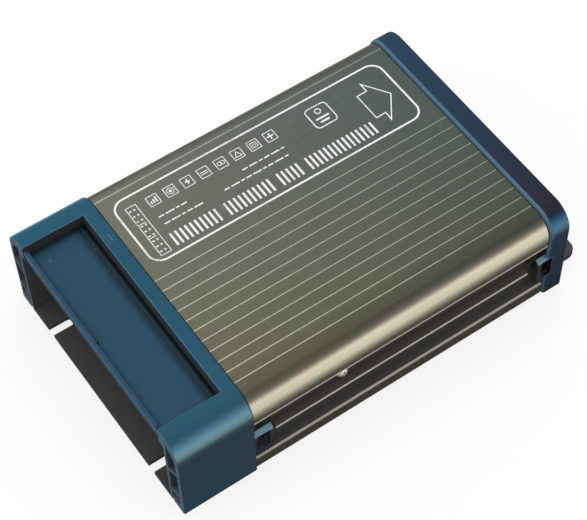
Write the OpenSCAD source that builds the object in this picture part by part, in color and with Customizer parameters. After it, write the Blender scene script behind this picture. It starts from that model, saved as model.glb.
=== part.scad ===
// Waterproof switching power supply, lying on its mounting plate.
// X runs along the length and the terminals are at its low end, Y runs across, Z is up.
// Z is zero at the underside of the mounting plate. All sizes are in millimetres.

/* [Whole unit] */
// Length over both end caps
unit_l = 187; // [180:0.5:230]
// Width over the end caps
unit_w = 125; // [121:0.5:140]
// Height over the end caps
unit_h = 48.5; // [47.5:0.5:60]
// How far the end caps stand proud of the aluminium
cap_proud = 1; // [0.6:0.1:1.6]

/* [Aluminium housing] */
// Thickness of the crown
crown_t = 2.6; // [2:0.1:3.2]
// Thickness of the side walls
wall_t = 3; // [2.4:0.1:3.6]
// Radius of the crown's long edges
corner_r = 9.5; // [6:0.5:11]
// Depth of the cooling channels in the sides
channel_d = 5; // [4.4:0.1:5.8]
// Radius at the bottom of a channel
channel_r = 0.8; // [0.4:0.1:1.5]
// Height of the crown's sides, from their lower lip to the top
crown_side_h = 14.3; // [12:0.1:16]
// Drop of the middle fin below that lip
fin_drop = 11.8; // [10:0.1:14]
// Thickness of the middle fin
fin_t = 1.2; // [0.8:0.1:2]
// Height of the base flange
flange_h = 7.4; // [6.4:0.1:7.6]
// Bevel along the top of the base flange
flange_bevel = 0.6; // [0.4:0.1:1.8]
// How far the fin stops short of the upper cap
fin_back = 9; // [8:0.5:20]
// Thickness of the feet that carry the plate
foot_t = 3; // [2:0.1:3.6]
// Width of the feet that carry the plate
foot_w = 7; // [6:0.1:9]

/* [Grooves on the crown] */
// Number of grooves on the ribbed side
groove_n = 11; // [4:1:11]
// Spacing of the grooves
groove_pitch = 5.6; // [4:0.1:5.8]
// Width of a groove
groove_w = 0.6; // [0.3:0.1:1.2]
// Depth of a groove
groove_d = 0.4; // [0.2:0.1:0.8]
// Place of the first groove across the crown
groove_first_y = 6.9; // [0:0.1:10]
// Place of the lone groove on the plain side
groove_far_y = 52.6; // [44:0.1:53]

/* [Mounting plate] */
// Thickness of the plate
plate_t = 2; // [1.5:0.1:2.6]
// How far the plate's long edges stay inside the caps
plate_in = 7.5; // [7:0.1:8.5]
// How far the plate reaches past the upper cap
ear_l = 15.5; // [13:0.5:30]
// Corner radius at the ear
ear_r = 5; // [2:0.5:8]
// Corner radius at the terminal end
plate_r = 1.5; // [0.5:0.5:3]
// Distance between the two notches at each end
notch_pitch = 77.4; // [60:0.2:84]
// Width of a notch
notch_w = 4.4; // [3.6:0.1:6]
// Depth of a notch, to its round end
notch_d = 10.4; // [8:0.1:12]
// Clearance round the plate
plate_gap = 0.15; // [0.05:0.05:0.3]

/* [Terminal end cap] */
// Length of the terminal end cap
cap_l = 34; // [32:0.5:44]
// Depth of the terminal bay from the open end
bay_d = 27.9; // [26.5:0.1:30]
// Width of the cap's top beside the recess
recess_side_w = 12.8; // [11.5:0.1:14.5]
// Width of the hollow arms beside the terminal bay
arm_w = 9.7; // [9:0.1:10.2]
// Thickness of the wall behind the terminals
bulkhead_t = 2; // [1.4:0.1:3]
// Bevel round the recess
recess_bevel = 0.5; // [0.2:0.1:1]
// Bevel round the outer ends of both caps
cap_bevel = 0.6; // [0.3:0.1:1.2]
// Outer wall of the hollow arms
arm_wall = 1.8; // [1.4:0.1:2.2]
// Inner wall of the hollow arms
arm_inner_wall = 1.6; // [1.2:0.1:2]
// Ribs inside the hollow arms
arm_rib = 1.6; // [1:0.1:2.4]
// Fall of the slanted ribs towards the bay
arm_rib_fall = 3.5; // [1:0.1:5]
// Depth of the hollows in the arms
arm_hollow_d = 27; // [15:0.5:29]

/* [Upper end cap] */
// Length of the upper end cap
upper_cap_l = 9.6; // [7:0.1:12]
// Thickness of its end wall
end_t = 2.2; // [1.6:0.1:3]

/* [Seals and snap latches] */
// Thickness of the seals between caps and housing
seal_t = 0.6; // [0.4:0.1:1.2]
// How far the seals stay inside the housing's outline
seal_inset = 0.3; // [0.1:0.1:0.8]
// Length of the tongues that plug into the housing
spigot_l = 5; // [3:0.5:8]
// Wall of the tongues
spigot_t = 1.6; // [1.2:0.1:2.4]
// Clearance between caps and housing
fit_gap = 0.2; // [0.1:0.05:0.3]
// Length of the latch tabs on the terminal end cap
tab_l = 9; // [7:0.5:12]
// Length of the latch tabs on the upper end cap
upper_tab_l = 4.2; // [4.2:0.1:7]
// Thickness of the latch tabs
tab_t = 2.4; // [2:0.1:2.8]
// Height of the latch tabs
tab_h = 14.5; // [10:0.5:16]
// Height of their lower edge above the plate's underside
tab_z = 10.5; // [9:0.5:12]
// Width of the frame round a latch window
tab_frame = 1.9; // [1.2:0.1:2.4]
// Width of the catch inside a latch window
catch_w = 3; // [2:0.1:4]
// Length of the catch
catch_l = 1.6; // [1.2:0.1:2]

/* [Terminal cover] */
// Drop of the cover below the cap's top
cover_drop = 5.5; // [4.5:0.1:7]
// Thickness of the cover
cover_t = 1.8; // [1.4:0.1:2.4]
// Clearance round the cover
cover_gap = 0.4; // [0.3:0.05:0.6]
// Drop of the cover's lip below the cap's top
cover_lip_drop = 1.5; // [1.2:0.1:3]
// Thickness of the cover's lip
cover_lip_t = 1.6; // [1.2:0.1:3.4]
// Width of the finger grip on the lip
grip_w = 10.5; // [8:0.5:30]
// Place of the finger grip across the lip
grip_y = 1.6; // [-10:0.2:10]
// How much thicker the finger grip is
grip_t = 0.9; // [0.4:0.1:2.4]
// Height of the finger grip above the lip
grip_h = 0.3; // [0.3:0.1:1]
// Radius of the cover's hinge barrel
barrel_r = 1.5; // [1.3:0.1:1.8]
// Radius of the cover's hinge pins
pin_r = 1; // [0.8:0.05:1.2]
// Length of the hinge pins
pin_l = 2.2; // [1.4:0.1:3]
// Running clearance of the hinge pins
pin_gap = 0.05; // [0.02:0.01:0.1]
// How opened the cover is drawn
cover_angle = 0; // [0:5:95]

/* [Circuit board] */
// Height of the board's underside
board_z = 8.2; // [7.8:0.1:10]
// Thickness of the board
board_t = 1.6; // [1.2:0.1:2]
// Clearance of the board in its slots
board_gap = 0.1; // [0.05:0.05:0.2]
// Depth of the board's slots in the side walls
slot_d = 1.1; // [0.8:0.1:1.4]
// Thickness of the insulating sheet on the plate
sheet_t = 0.4; // [0.2:0.1:0.8]

/* [Terminals] */
// Number of terminals
term_n = 9; // [3:1:9]
// Spacing of the terminals
term_pitch = 9.5; // [8:0.1:9.6]
// Thickness of the barriers between them
barrier_t = 1.5; // [1:0.1:2]
// Height of the barriers above the board
barrier_h = 18; // [15:0.5:19]
// Height of the terminal block's base
term_base_h = 9; // [7:0.5:10]
// Depth of the terminal block
term_d = 15.5; // [14:0.1:17]
// Radius of the terminal screws
term_screw_r = 1.75; // [1.5:0.05:2]

/* [Screws] */
// Radius of the small machine screws
screw_r = 1.5; // [1.2:0.05:1.8]
// Radius of a pan head
head_r = 3; // [2.6:0.1:3.2]
// Height of a pan head
head_h = 2.2; // [1.6:0.1:2.4]
// Place of the side screws along the unit, from the terminal end
side_screw_x = 77.7; // [72:0.1:84]
// Drop of the side screws below the lip under the crown
side_screw_drop = 6.2; // [4:0.1:7.6]
// Clearance of a screw in its thread
thread_gap = 0.05; // [0.02:0.01:0.1]

/* [Hidden] */

// Places along the length
x_end = -(unit_l + ear_l) / 2;
x_far = x_end + unit_l;
x_ear = x_far + ear_l;
x_joint = x_end + cap_l;
x_upper_joint = x_far - upper_cap_l;
x_body = x_joint + seal_t;
x_body_far = x_upper_joint - seal_t;
x_bay = x_end + bay_d;

// Section of the housing
body_hw = unit_w / 2 - cap_proud;
body_h = unit_h - cap_proud;
crown_lip_z = body_h - crown_side_h;
fin_z = crown_lip_z - fin_drop;
side_screw_z = crown_lip_z - side_screw_drop;
wall_out = body_hw - channel_d;
cav_hw = wall_out - wall_t;
cav_top = body_h - crown_t;
crown_in_hw = body_hw - crown_t;
crown_floor = crown_lip_z + crown_t;
plate_hw = unit_w / 2 - plate_in;
foot_top = plate_t + plate_gap + foot_t;
foot_hw = cav_hw - foot_w;

// Latches
tab_out = unit_w / 2 - 0.7;
tab_in = tab_out - tab_t;
tab_slope = 1.4;
catch_z = tab_z + 4;
catch_in = wall_out - 1.2;

// Cover
recess_hw = unit_w / 2 - recess_side_w;
bay_hw = unit_w / 2 - arm_w;
cover_hw = recess_hw - cover_gap;
cover_top = unit_h - cover_drop;
cover_under = cover_top - cover_t;
hinge_x = x_bay - barrel_r - cover_gap - 0.1;
hinge_z = cover_top - cover_t / 2;
stop_top = cover_under - 0.3;
cover_rib_pitch = 16;
cover_rib_t = 1.2;
cover_rib_h = 1.6;

// Board and the places on it
board_top = board_z + board_t;
board_hw = cav_hw + slot_d - board_gap;
board_x = x_body + 1.5;
board_far = x_body_far - 4;
tongue_x = x_end + 12.2;
tongue_hw = bay_hw - 1.3;

// Terminal block
term_len = term_n * term_pitch + barrier_t;
term_back = x_bay - 0.4;
term_front = term_back - term_d;
term_y = -term_len / 2 + 2.6;
term_base_top = board_top + term_base_h;
term_screw_x = term_front + 6.2;
term_wall_t = 2;
term_floor_t = 2;
contact_t = 0.8;
clamp_t = 1;
term_head_r = 2.65;
term_head_h = 2.4;

// Adjuster and lamp beside the terminals
trimmer_back = 9.5;
trimmer_in = 4.6;
trimmer_at = [x_bay - trimmer_back, trimmer_in - tongue_hw, board_top];
trimmer_size = 7.6;
trimmer_h = 5;
rotor_r = 2.6;
rotor_gap = 0.05;
rotor_low = 1.6;
rotor_lift = 0.1;
rotor_proud = 0.7;
rotor_slot_l = 3.8;
rotor_slot_w = 0.8;
lamp_back = 2.8;
lamp_at = [x_bay - lamp_back, trimmer_at.y, board_top];
lamp_r = 1.5;
lamp_h = 3.6;

// Line side of the board: distances along it, and inwards from its high side
line_x = 15;
fuse_in = 8.5;
fuse_lift = 5;
fuse_l = 20;
fuse_r = 2.6;
fuse_cap_l = 5;
fuse_at = on_board(line_x, board_hw - fuse_in, fuse_lift);
thermistor_x = 9;
thermistor_in = 24.5;
thermistor_r = 6.5;
thermistor_t = 4.6;
thermistor_at = on_board(thermistor_x, board_hw - thermistor_in);
line_cap_x = 16;
line_cap_in = 28.5;
line_cap_l = 26;
line_cap_w = 10;
line_cap_h = 18;
line_cap_at = on_board(line_cap_x, board_hw - line_cap_in);
safety_cap_x = 34;
safety_cap_in = 45.5;
safety_cap_pitch = 10;
safety_cap_r = 4;
safety_cap_t = 3.4;
safety_cap_at = on_board(safety_cap_x, board_hw - safety_cap_in);
line_choke_x = 60;
line_choke_in = 18.5;
line_choke_at = on_board(line_choke_x, board_hw - line_choke_in);
choke_base_l = 12;
choke_base_w = 22;
choke_base_h = 2;
line_ring_r = 8;
line_core_r = 3;
line_wire_r = 0.6;
line_turns = 7;
line_turn_step = 21;
bulk_cap_x = 122;
bulk_cap_in = 56.5;
bulk_cap_pitch = 25;
bulk_cap_r = 11;
bulk_cap_room = 4.1;
bulk_cap_at = on_board(bulk_cap_x, board_hw - bulk_cap_in);
bleeder_in = 16.5;
bleeder_pitch = 6;
bleeder_r = 2;
bleeder_l = 10;
bleeder_span = 12.4;
bleeder_lift = 3;
bleeder_lead_r = 0.4;
bleeder_at = on_board(bulk_cap_x, board_hw - bleeder_in);

// Devices clamped on the side walls
screw_x = x_end + side_screw_x;
primary_screw_in = 104;
primary_screw_x = board_x + primary_screw_in;
primary_t = 4.5;
switch_w = 10;
switch_h = 10;
switch_low = 9;
switch_tab_h = 24;
bridge_w = 22;
bridge_tab_h = 23;
output_t = 5;
rectifier_w = 15.8;
rectifier_off = rectifier_w / 2 + screw_r + 1.5;
rectifier_tab_h = 24;
device_h = 18;
device_low = 5;
device_gap = 3;
lead_w = 1;
lead_t = 0.7;
device_metal_t = 1.4;
pad_t = 0.3;
pad_low = 4;
bar_t = 3;
bar_h = 8;

// Transformers
core_gap = 0.1;
crown_room = 2.1;
main_x = 86;
main_y = -4;
main_lift = 3;
main_at = on_board(main_x, main_y, main_lift);
main_w = 42;
main_thick = 15;
main_h = cav_top - board_top - main_lift - crown_room;
main_leg = 12;
main_flange = 1.2;
main_tube_t = 1.1;
main_bulge = 9;
driver_x = 92;
driver_in = 22.5;
driver_at = on_board(driver_x, board_hw - driver_in);
driver_w = 16;
driver_thick = 5;
driver_h = 14;
driver_leg = 4;
driver_bulge = 3.6;

// Output side of the board: distances along it, and inwards from its low side
output_choke_back = 4;
output_choke_in = 34.5;
output_choke_at = [screw_x - output_choke_back, output_choke_in - board_hw, board_top];
output_ring_r = 12.5;
output_core_r = 5;
output_wire_r = 0.9;
output_turns = 16;
output_turn_step = 20;
output_first_turn = 30;
output_cap_x = 8;
output_cap_in = 12.5;
output_cap_pitch = 11.5;
output_cap_r = 5;
output_cap_h = 24;
output_cap_at = on_board(output_cap_x, output_cap_in - board_hw);
output_cap_row = thermistor_at.y - thermistor_r - output_cap_r - output_cap_at.y;
output_cap_n = floor(output_cap_row / output_cap_pitch) + 1;
small_cap_x = 104;
small_cap_in = 14.5;
small_cap_pitch = 9;
small_cap_r = 3.15;
small_cap_h = 11;
small_cap_at = on_board(small_cap_x, small_cap_in - board_hw);
controller_x = 84;
controller_in = 15.5;
controller_l = 19.5;
controller_at = on_board(controller_x, controller_in - board_hw);
optocoupler_x = 64;
optocoupler_in = 24.5;
optocoupler_l = 5;
optocoupler_at = on_board(optocoupler_x, optocoupler_in - board_hw);
shunt_x = 60;
shunt_in = 36.5;
shunt_pitch = 4;
shunt_wire = 1.4;
shunt_span = 12;
shunt_h = 6;
shunt_at = on_board(shunt_x, shunt_in - board_hw);

// Colours
steel = "silver";
cap_blue = [0.13, 0.34, 0.46];
bronze = [0.42, 0.43, 0.38];
black = [0.15, 0.15, 0.16];
copper = [0.72, 0.42, 0.22];
$fn = 48;

// Place on the board, from the end of its wide part
function on_board(x, y, z = 0) = [board_x + x, y, board_top + z];

// Extrudes a section given as Y and Z along X
module along_x(x_from, x_to) {
    translate([x_from, 0, 0])
        rotate([90, 0, 90])
            linear_extrude(x_to - x_from)
                children();
}

// Box between two corners
module block(low, high) {
    translate(low)
        cube(high - low);
}

// Rod along Y
module rod_y(at, r, length) {
    translate(at)
        rotate([-90, 0, 0])
            cylinder(h = length, r = r);
}

// Box with its four upright edges rounded
module round_box(low, high, r) {
    size = high - low;
    translate([low.x, low.y + r, low.z])
        cube([size.x, size.y - 2 * r, size.z]);
    translate([low.x + r, low.y, low.z])
        cube([size.x - 2 * r, size.y, size.z]);
    for (x = [low.x + r, high.x - r], y = [low.y + r, high.y - r])
        translate([x, y, low.z])
            cylinder(h = size.z, r = r);
}

// Rectangle with a flat bottom and rounded top corners
module arch_2d(hw, bottom, top, r) {
    translate([-hw, bottom])
        square([2 * hw, top - r - bottom]);
    translate([-hw + r, bottom])
        square([2 * (hw - r), top - bottom]);
    for (side = [-1, 1])
        translate([side * (hw - r), top - r])
            circle(r);
}

// Hollow of the housing above the board's feet
module cavity_2d(gap = 0) {
    arch_2d(crown_in_hw - gap, crown_floor + gap, cav_top - gap, corner_r - crown_t - gap);
    translate([-cav_hw + gap, foot_top])
        square([2 * (cav_hw - gap), crown_floor - foot_top + 1]);
}

// Cooling channel in one side, open outwards
module channel_2d(z_low, z_high) {
    translate([wall_out, z_low + channel_r])
        square([channel_d + 1, z_high - z_low - 2 * channel_r]);
    translate([wall_out + channel_r, z_low])
        square([channel_d + 1, z_high - z_low]);
    for (z = [z_low + channel_r, z_high - channel_r])
        translate([wall_out + channel_r, z])
            circle(channel_r);
}

module groove_2d(y) {
    translate([y, body_h])
        polygon([[-groove_w / 2, 0.1], [groove_w / 2, 0.1], [groove_w / 2, 0],
                 [0, -groove_d], [-groove_w / 2, 0]]);
}

module body_2d() {
    difference() {
        arch_2d(body_hw, 0, body_h, corner_r);
        cavity_2d();
        translate([-foot_hw, -1])
            square([2 * foot_hw, foot_top + 2]);
        plate_slot_2d();
        for (side = [0, 1])
            mirror([side, 0]) {
                channel_2d(flange_h, fin_z - fin_t / 2);
                channel_2d(fin_z + fin_t / 2, crown_lip_z);
                translate([body_hw, flange_h])
                    rotate(45)
                        square(flange_bevel * sqrt(2), center = true);
                translate([cav_hw - 1, board_z - board_gap])
                    square([slot_d + 1, board_t + 2 * board_gap]);
            }
        for (i = [0 : groove_n - 1])
            groove_2d(groove_first_y - i * groove_pitch);
        groove_2d(groove_far_y);
    }
}

// Space that the mounting plate takes under the housing and the caps
module plate_slot_2d() {
    translate([-plate_hw - plate_gap, -1])
        square([2 * (plate_hw + plate_gap), plate_t + plate_gap + 1]);
}

// Places of the screws that hold the plate to the feet
function plate_screw_places() = [
    for (x = [x_body + 14, (x_body + x_body_far) / 2, x_body_far - 14], side = [-1, 1])
        [x, side * (cav_hw - foot_w / 2), 0]
];

module housing_extrusion() {
    color(bronze)
        difference() {
            along_x(x_body, x_body_far)
                body_2d();
            for (side = [0, 1])
                mirror([0, side, 0]) {
                    fin_cut(x_body - 1, x_body + tab_l + 0.6);
                    fin_cut(x_body_far - fin_back, x_body_far + 1);
                    catch_hole(x_joint + tab_l - tab_frame - catch_l);
                    catch_hole(x_upper_joint - upper_tab_l + tab_frame);
                }
            rod_y([screw_x, -body_hw - 1, side_screw_z], screw_r + 0.2, body_hw);
            rod_y([primary_screw_x, 1, side_screw_z], screw_r + 0.2, body_hw);
            for (at = plate_screw_places())
                translate(at)
                    cylinder(h = foot_top + 1, r = screw_r);
        }
}

// Cuts the middle fin back where a latch tab lies
module fin_cut(x_from, x_to) {
    block([x_from, wall_out, fin_z - fin_t / 2 - channel_r],
          [x_to, body_hw + 1, fin_z + fin_t / 2 + channel_r]);
}

// Hole in the side wall that a catch drops into
module catch_hole(x) {
    block([x - 0.3, cav_hw - 1, catch_z - 0.3], [x + catch_l + 0.3, wall_out + 1, catch_z + catch_w + 0.3]);
}

module mounting_plate() {
    color(black)
        difference() {
            linear_extrude(plate_t)
                difference() {
                    plate_outline_2d();
                    for (side = [-1, 1], end = [0, 1])
                        notch_2d(end == 0 ? x_end : x_ear, end == 0 ? 1 : -1, side * notch_pitch / 2);
                }
            for (at = plate_screw_places())
                translate(at) {
                    translate([0, 0, -1])
                        cylinder(h = plate_t + 2, r = screw_r + 0.2);
                    translate([0, 0, -0.01])
                        cylinder(h = head_r - screw_r + 0.01, r1 = head_r + 0.01, r2 = screw_r);
                }
        }
}

module plate_outline_2d() {
    translate([x_end + plate_r, -plate_hw])
        square([x_ear - ear_r - x_end - plate_r, 2 * plate_hw]);
    translate([x_end, -plate_hw + plate_r])
        square([plate_r + 1, 2 * (plate_hw - plate_r)]);
    translate([x_ear - ear_r - 1, -plate_hw + ear_r])
        square([ear_r + 1, 2 * (plate_hw - ear_r)]);
    for (side = [-1, 1]) {
        translate([x_end + plate_r, side * (plate_hw - plate_r)])
            circle(plate_r);
        translate([x_ear - ear_r, side * (plate_hw - ear_r)])
            circle(ear_r);
    }
}

// Notch for a mounting screw, open at the plate's edge
module notch_2d(x_edge, way, y) {
    translate([x_edge + way * (notch_d - notch_w / 2), y])
        circle(notch_w / 2);
    translate([x_edge + (way > 0 ? -1 : -(notch_d - notch_w / 2)), y - notch_w / 2])
        square([notch_d - notch_w / 2 + 1, notch_w]);
}

module cap_outline_2d(inset = 0) {
    arch_2d(unit_w / 2 - inset, 0, unit_h - inset, corner_r + cap_proud - inset);
}

// Solid form of a cap, with a bevel at its outer end
module cap_solid(x_outer, x_inner) {
    way = x_inner > x_outer ? 1 : -1;
    hull() {
        along_x(min(x_outer, x_outer + way * 0.02), max(x_outer, x_outer + way * 0.02))
            cap_outline_2d(cap_bevel);
        along_x(min(x_outer + way * cap_bevel, x_outer + way * (cap_bevel + 0.02)),
                max(x_outer + way * cap_bevel, x_outer + way * (cap_bevel + 0.02)))
            cap_outline_2d();
    }
    along_x(min(x_outer + way * cap_bevel, x_inner), max(x_outer + way * cap_bevel, x_inner))
        cap_outline_2d();
}

// Tongue that plugs into the crown of the housing
module spigot(x_from, x_to) {
    along_x(x_from, x_to)
        difference() {
            arch_2d(crown_in_hw - fit_gap, crown_floor + fit_gap, cav_top - fit_gap,
                    corner_r - crown_t - fit_gap);
            arch_2d(crown_in_hw - fit_gap - spigot_t, crown_floor - 1, cav_top - fit_gap - spigot_t,
                    corner_r - crown_t - fit_gap - spigot_t);
        }
}

// Latch tab on the near side, from its root to its tip, with a slope along its upper edge
module latch_tab(x_root, x_tip) {
    top = tab_z + tab_h;
    along_x(min(x_root, x_tip), max(x_root, x_tip))
        polygon([[tab_in, tab_z], [tab_out, tab_z], [tab_out, top - tab_slope], [tab_out - tab_slope, top],
                 [tab_in, top]]);
}

// Window in a latch tab
module latch_window(x_a, x_b) {
    block([min(x_a, x_b), tab_in - 1.2, tab_z + tab_frame],
          [max(x_a, x_b), unit_w / 2 + 1, tab_z + tab_h - tab_frame]);
}

// Wedge on the frame at a tab's tip, which drops into the wall of the housing
module latch_catch(x_frame, way) {
    root = 1;
    lean = 0.9;
    translate([x_frame, 0, catch_z])
        linear_extrude(catch_w)
            polygon([[way * root, tab_in + root], [way * root, tab_in], [0, tab_in], [-way * lean, catch_in],
                     [-way * catch_l, catch_in], [-way * catch_l, tab_in + root]]);
}

// Hollow in an arm between two slanted ribs
module arm_hollow_2d(z_low, z_high) {
    inner = bay_hw + arm_inner_wall;
    outer = unit_w / 2 - arm_wall;
    polygon([[inner, z_low - arm_rib_fall], [outer, z_low], [outer, z_high], [inner, z_high - arm_rib_fall]]);
}

module arm_hollows_2d() {
    rib_low = 13;
    rib_high = 29.5;
    intersection() {
        union() {
            arm_hollow_2d(arm_wall + arm_rib_fall, rib_low - arm_rib);
            arm_hollow_2d(rib_low, rib_high - arm_rib);
            arm_hollow_2d(rib_high, unit_h - cover_lip_drop);
        }
        arch_2d(unit_w / 2 - arm_wall, plate_t + arm_wall, unit_h - arm_wall - 3,
                corner_r + cap_proud - arm_wall);
    }
}

module terminal_end_cap() {
    window_low = board_z - 1.2;
    window_high = board_top + barrier_h + 0.5;
    color(cap_blue)
        difference() {
            union() {
                difference() {
                    cap_solid(x_end, x_joint);
                    recess_cut();
                    along_x(x_end - 1, x_bay)
                        translate([-bay_hw, -1])
                            square([2 * bay_hw, stop_top]);
                    along_x(x_bay + bulkhead_t, x_joint + 1)
                        cavity_2d();
                    along_x(x_end - 1, x_end + arm_hollow_d)
                        for (side = [0, 1])
                            mirror([side, 0])
                                arm_hollows_2d();
                }
                spigot(x_bay + bulkhead_t - 0.5, x_joint + spigot_l);
                for (side = [0, 1])
                    mirror([0, side, 0]) {
                        latch_tab(x_joint - 3, x_joint + tab_l);
                        cover_stop();
                    }
            }
            along_x(x_end - 1, x_joint + 1)
                plate_slot_2d();
            block([x_bay - 1, -tongue_hw - 0.5, window_low],
                  [x_bay + bulkhead_t + 1, tongue_hw + 0.5, window_high]);
            for (side = [0, 1])
                mirror([0, side, 0]) {
                    latch_window(x_joint + 1.4, x_joint + tab_l - tab_frame);
                    rod_y([hinge_x, recess_hw - 1, hinge_z], pin_r + pin_gap, pin_l + 1.2);
                }
        }
    color(cap_blue)
        for (side = [0, 1])
            mirror([0, side, 0])
                latch_catch(x_joint + tab_l - tab_frame, 1);
}

// Recess in the cap's top over the terminal bay, with a bevelled edge
module recess_cut() {
    block([x_end - 1, -recess_hw, stop_top - 2], [x_bay, recess_hw, unit_h + 1]);
    hull() {
        block([x_end - 1, -recess_hw - recess_bevel, unit_h],
              [x_bay + recess_bevel, recess_hw + recess_bevel, unit_h + 0.5]);
        block([x_end - 1, -recess_hw, unit_h - recess_bevel], [x_bay, recess_hw, unit_h + 0.5]);
    }
}

// Ledge on the arm that the closed cover lies on
module cover_stop() {
    along_x(x_end + 4, x_end + 20)
        polygon([[recess_hw - 1.4, stop_top - 1.6], [recess_hw - 1.4, stop_top], [bay_hw + 0.5, stop_top],
                 [bay_hw + 0.5, stop_top - 4.5]]);
}

module upper_end_cap() {
    color(cap_blue)
        difference() {
            union() {
                difference() {
                    cap_solid(x_far, x_upper_joint);
                    along_x(x_upper_joint - 1, x_far - end_t)
                        cavity_2d();
                    for (side = [0, 1])
                        mirror([0, side, 0])
                            side_hollows();
                }
                spigot(x_upper_joint - spigot_l, x_far - end_t + 0.5);
                for (side = [0, 1])
                    mirror([0, side, 0])
                        latch_tab(x_far - end_t + 0.5, x_upper_joint - upper_tab_l);
            }
            along_x(x_upper_joint - 1, x_far + 1)
                plate_slot_2d();
            for (side = [0, 1])
                mirror([0, side, 0])
                    latch_window(x_upper_joint - upper_tab_l + tab_frame, x_upper_joint + 2.8);
        }
    color(cap_blue)
        for (side = [0, 1])
            mirror([0, side, 0])
                latch_catch(x_upper_joint - upper_tab_l + tab_frame, -1);
}

// Hollows in the sides of the upper cap, open towards the housing's channels
module side_hollows() {
    for (z = [[flange_h, fin_z - fin_t / 2], [fin_z + fin_t / 2, crown_lip_z]])
        block([x_upper_joint - 1, wall_out, z[0]], [x_far - end_t, unit_w / 2 - arm_wall, z[1]]);
}

// Hinged cover of the terminal bay, with a lip to lift it by and ribs underneath
module terminal_cover() {
    lip_x = x_end + 0.2;
    lip_top = unit_h - cover_lip_drop;
    color(cap_blue)
        translate([hinge_x, 0, hinge_z])
            rotate([0, cover_angle, 0])
                translate([-hinge_x, 0, -hinge_z]) {
                    block([lip_x, -cover_hw, cover_under], [hinge_x, cover_hw, cover_top]);
                    block([lip_x, -cover_hw, cover_under], [lip_x + cover_lip_t, cover_hw, lip_top]);
                    block([lip_x, grip_y - grip_w / 2, cover_under],
                          [lip_x + cover_lip_t + grip_t, grip_y + grip_w / 2, lip_top + grip_h]);
                    rod_y([hinge_x, -cover_hw, hinge_z], barrel_r, 2 * cover_hw);
                    rod_y([hinge_x, -recess_hw - pin_l, hinge_z], pin_r, 2 * (recess_hw + pin_l));
                    for (i = [-2 : 2])
                        translate([0, i * cover_rib_pitch, 0])
                            block([lip_x + 1, -cover_rib_t / 2, cover_under - cover_rib_h],
                                  [hinge_x - 2, cover_rib_t / 2, cover_under + 0.5]);
                }
}

// Section of the seals, which follow the wall of the housing
module seal_2d() {
    difference() {
        union() {
            arch_2d(body_hw - seal_inset, crown_lip_z + seal_inset, body_h - seal_inset,
                    corner_r - seal_inset);
            translate([-wall_out + seal_inset, plate_t + 1])
                square([2 * (wall_out - seal_inset), crown_lip_z]);
        }
        cavity_2d(-0.1);
        translate([-cav_hw, -1])
            square([2 * cav_hw, foot_top + 2]);
    }
}

module terminal_end_seal() {
    color("black")
        along_x(x_joint, x_body)
            seal_2d();
}

module upper_end_seal() {
    color("black")
        along_x(x_body_far, x_upper_joint)
            seal_2d();
}

// Pan head screw along Z, with its head's underside at zero and its tip below
module pan_screw(r, length, hr, hh) {
    difference() {
        union() {
            translate([0, 0, -length])
                cylinder(h = length + 0.1, r = r);
            cylinder(h = hh * 0.55, r = hr);
            translate([0, 0, hh * 0.55])
                cylinder(h = hh * 0.45, r1 = hr, r2 = hr * 0.72);
        }
        for (turn = [0, 90])
            rotate(turn)
                translate([-hr * 0.55, -0.4, hh * 0.45])
                    cube([hr * 1.1, 0.8, hh]);
    }
}

module side_screws() {
    color(steel) {
        translate([screw_x, -wall_out, side_screw_z])
            rotate([90, 0, 0])
                pan_screw(screw_r, screw_reach(output_t), head_r, head_h);
        translate([primary_screw_x, wall_out, side_screw_z])
            rotate([-90, 0, 0])
                pan_screw(screw_r, screw_reach(primary_t), head_r, head_h);
    }
}

// Length of a side screw that ends flush with its clamp bar
function screw_reach(device_t) = wall_t + pad_t + device_t + bar_t;

module plate_screws() {
    color(steel)
        for (at = plate_screw_places())
            translate(at)
                difference() {
                    union() {
                        translate([0, 0, 0.1])
                            cylinder(h = head_r - screw_r, r1 = head_r - 0.15, r2 = screw_r - 0.15);
                        translate([0, 0, 0.6])
                            cylinder(h = foot_top - 0.2 - 0.6, r = screw_r - thread_gap);
                    }
                    for (turn = [45, 135])
                        rotate(turn)
                            translate([-1.4, -0.35, -0.5])
                                cube([2.8, 0.7, 1.4]);
                }
}

module insulating_sheet() {
    color("white")
        block([x_body + 1, -foot_hw + 0.5, plate_t], [x_body_far - 1, foot_hw - 0.5, plate_t + sheet_t]);
}

module main_board() {
    color([0.16, 0.42, 0.22]) {
        block([board_x, -board_hw, board_z], [board_far, board_hw, board_top]);
        block([tongue_x, -tongue_hw, board_z], [board_x + 1, tongue_hw, board_top]);
    }
}

// Middle of each terminal across the block
function term_places() = [for (i = [0 : term_n - 1]) term_y + barrier_t / 2 + term_pitch * (i + 0.5)];

module terminal_block() {
    color(black)
        difference() {
            union() {
                block([term_front, term_y, board_top], [term_back, term_y + term_len, term_base_top]);
                block([term_back - term_wall_t, term_y, board_top],
                      [term_back, term_y + term_len, board_top + barrier_h]);
                for (i = [0 : term_n])
                    translate([0, term_y + i * term_pitch, 0])
                        block([term_front, 0, board_top], [term_back, barrier_t, board_top + barrier_h]);
            }
            for (y = term_places())
                translate([term_screw_x, y, board_top + term_floor_t])
                    cylinder(h = term_base_h, r = term_screw_r);
        }
}

module terminal_contacts() {
    half_w = (term_pitch - barrier_t) / 2 - 0.3;
    color("gold")
        for (y = term_places())
            difference() {
                block([term_front + 0.5, y - half_w, term_base_top],
                      [term_back - term_wall_t - 0.2, y + half_w, term_base_top + contact_t]);
                translate([term_screw_x, y, term_base_top - 1])
                    cylinder(h = contact_t + 2, r = term_screw_r);
            }
}

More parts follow.
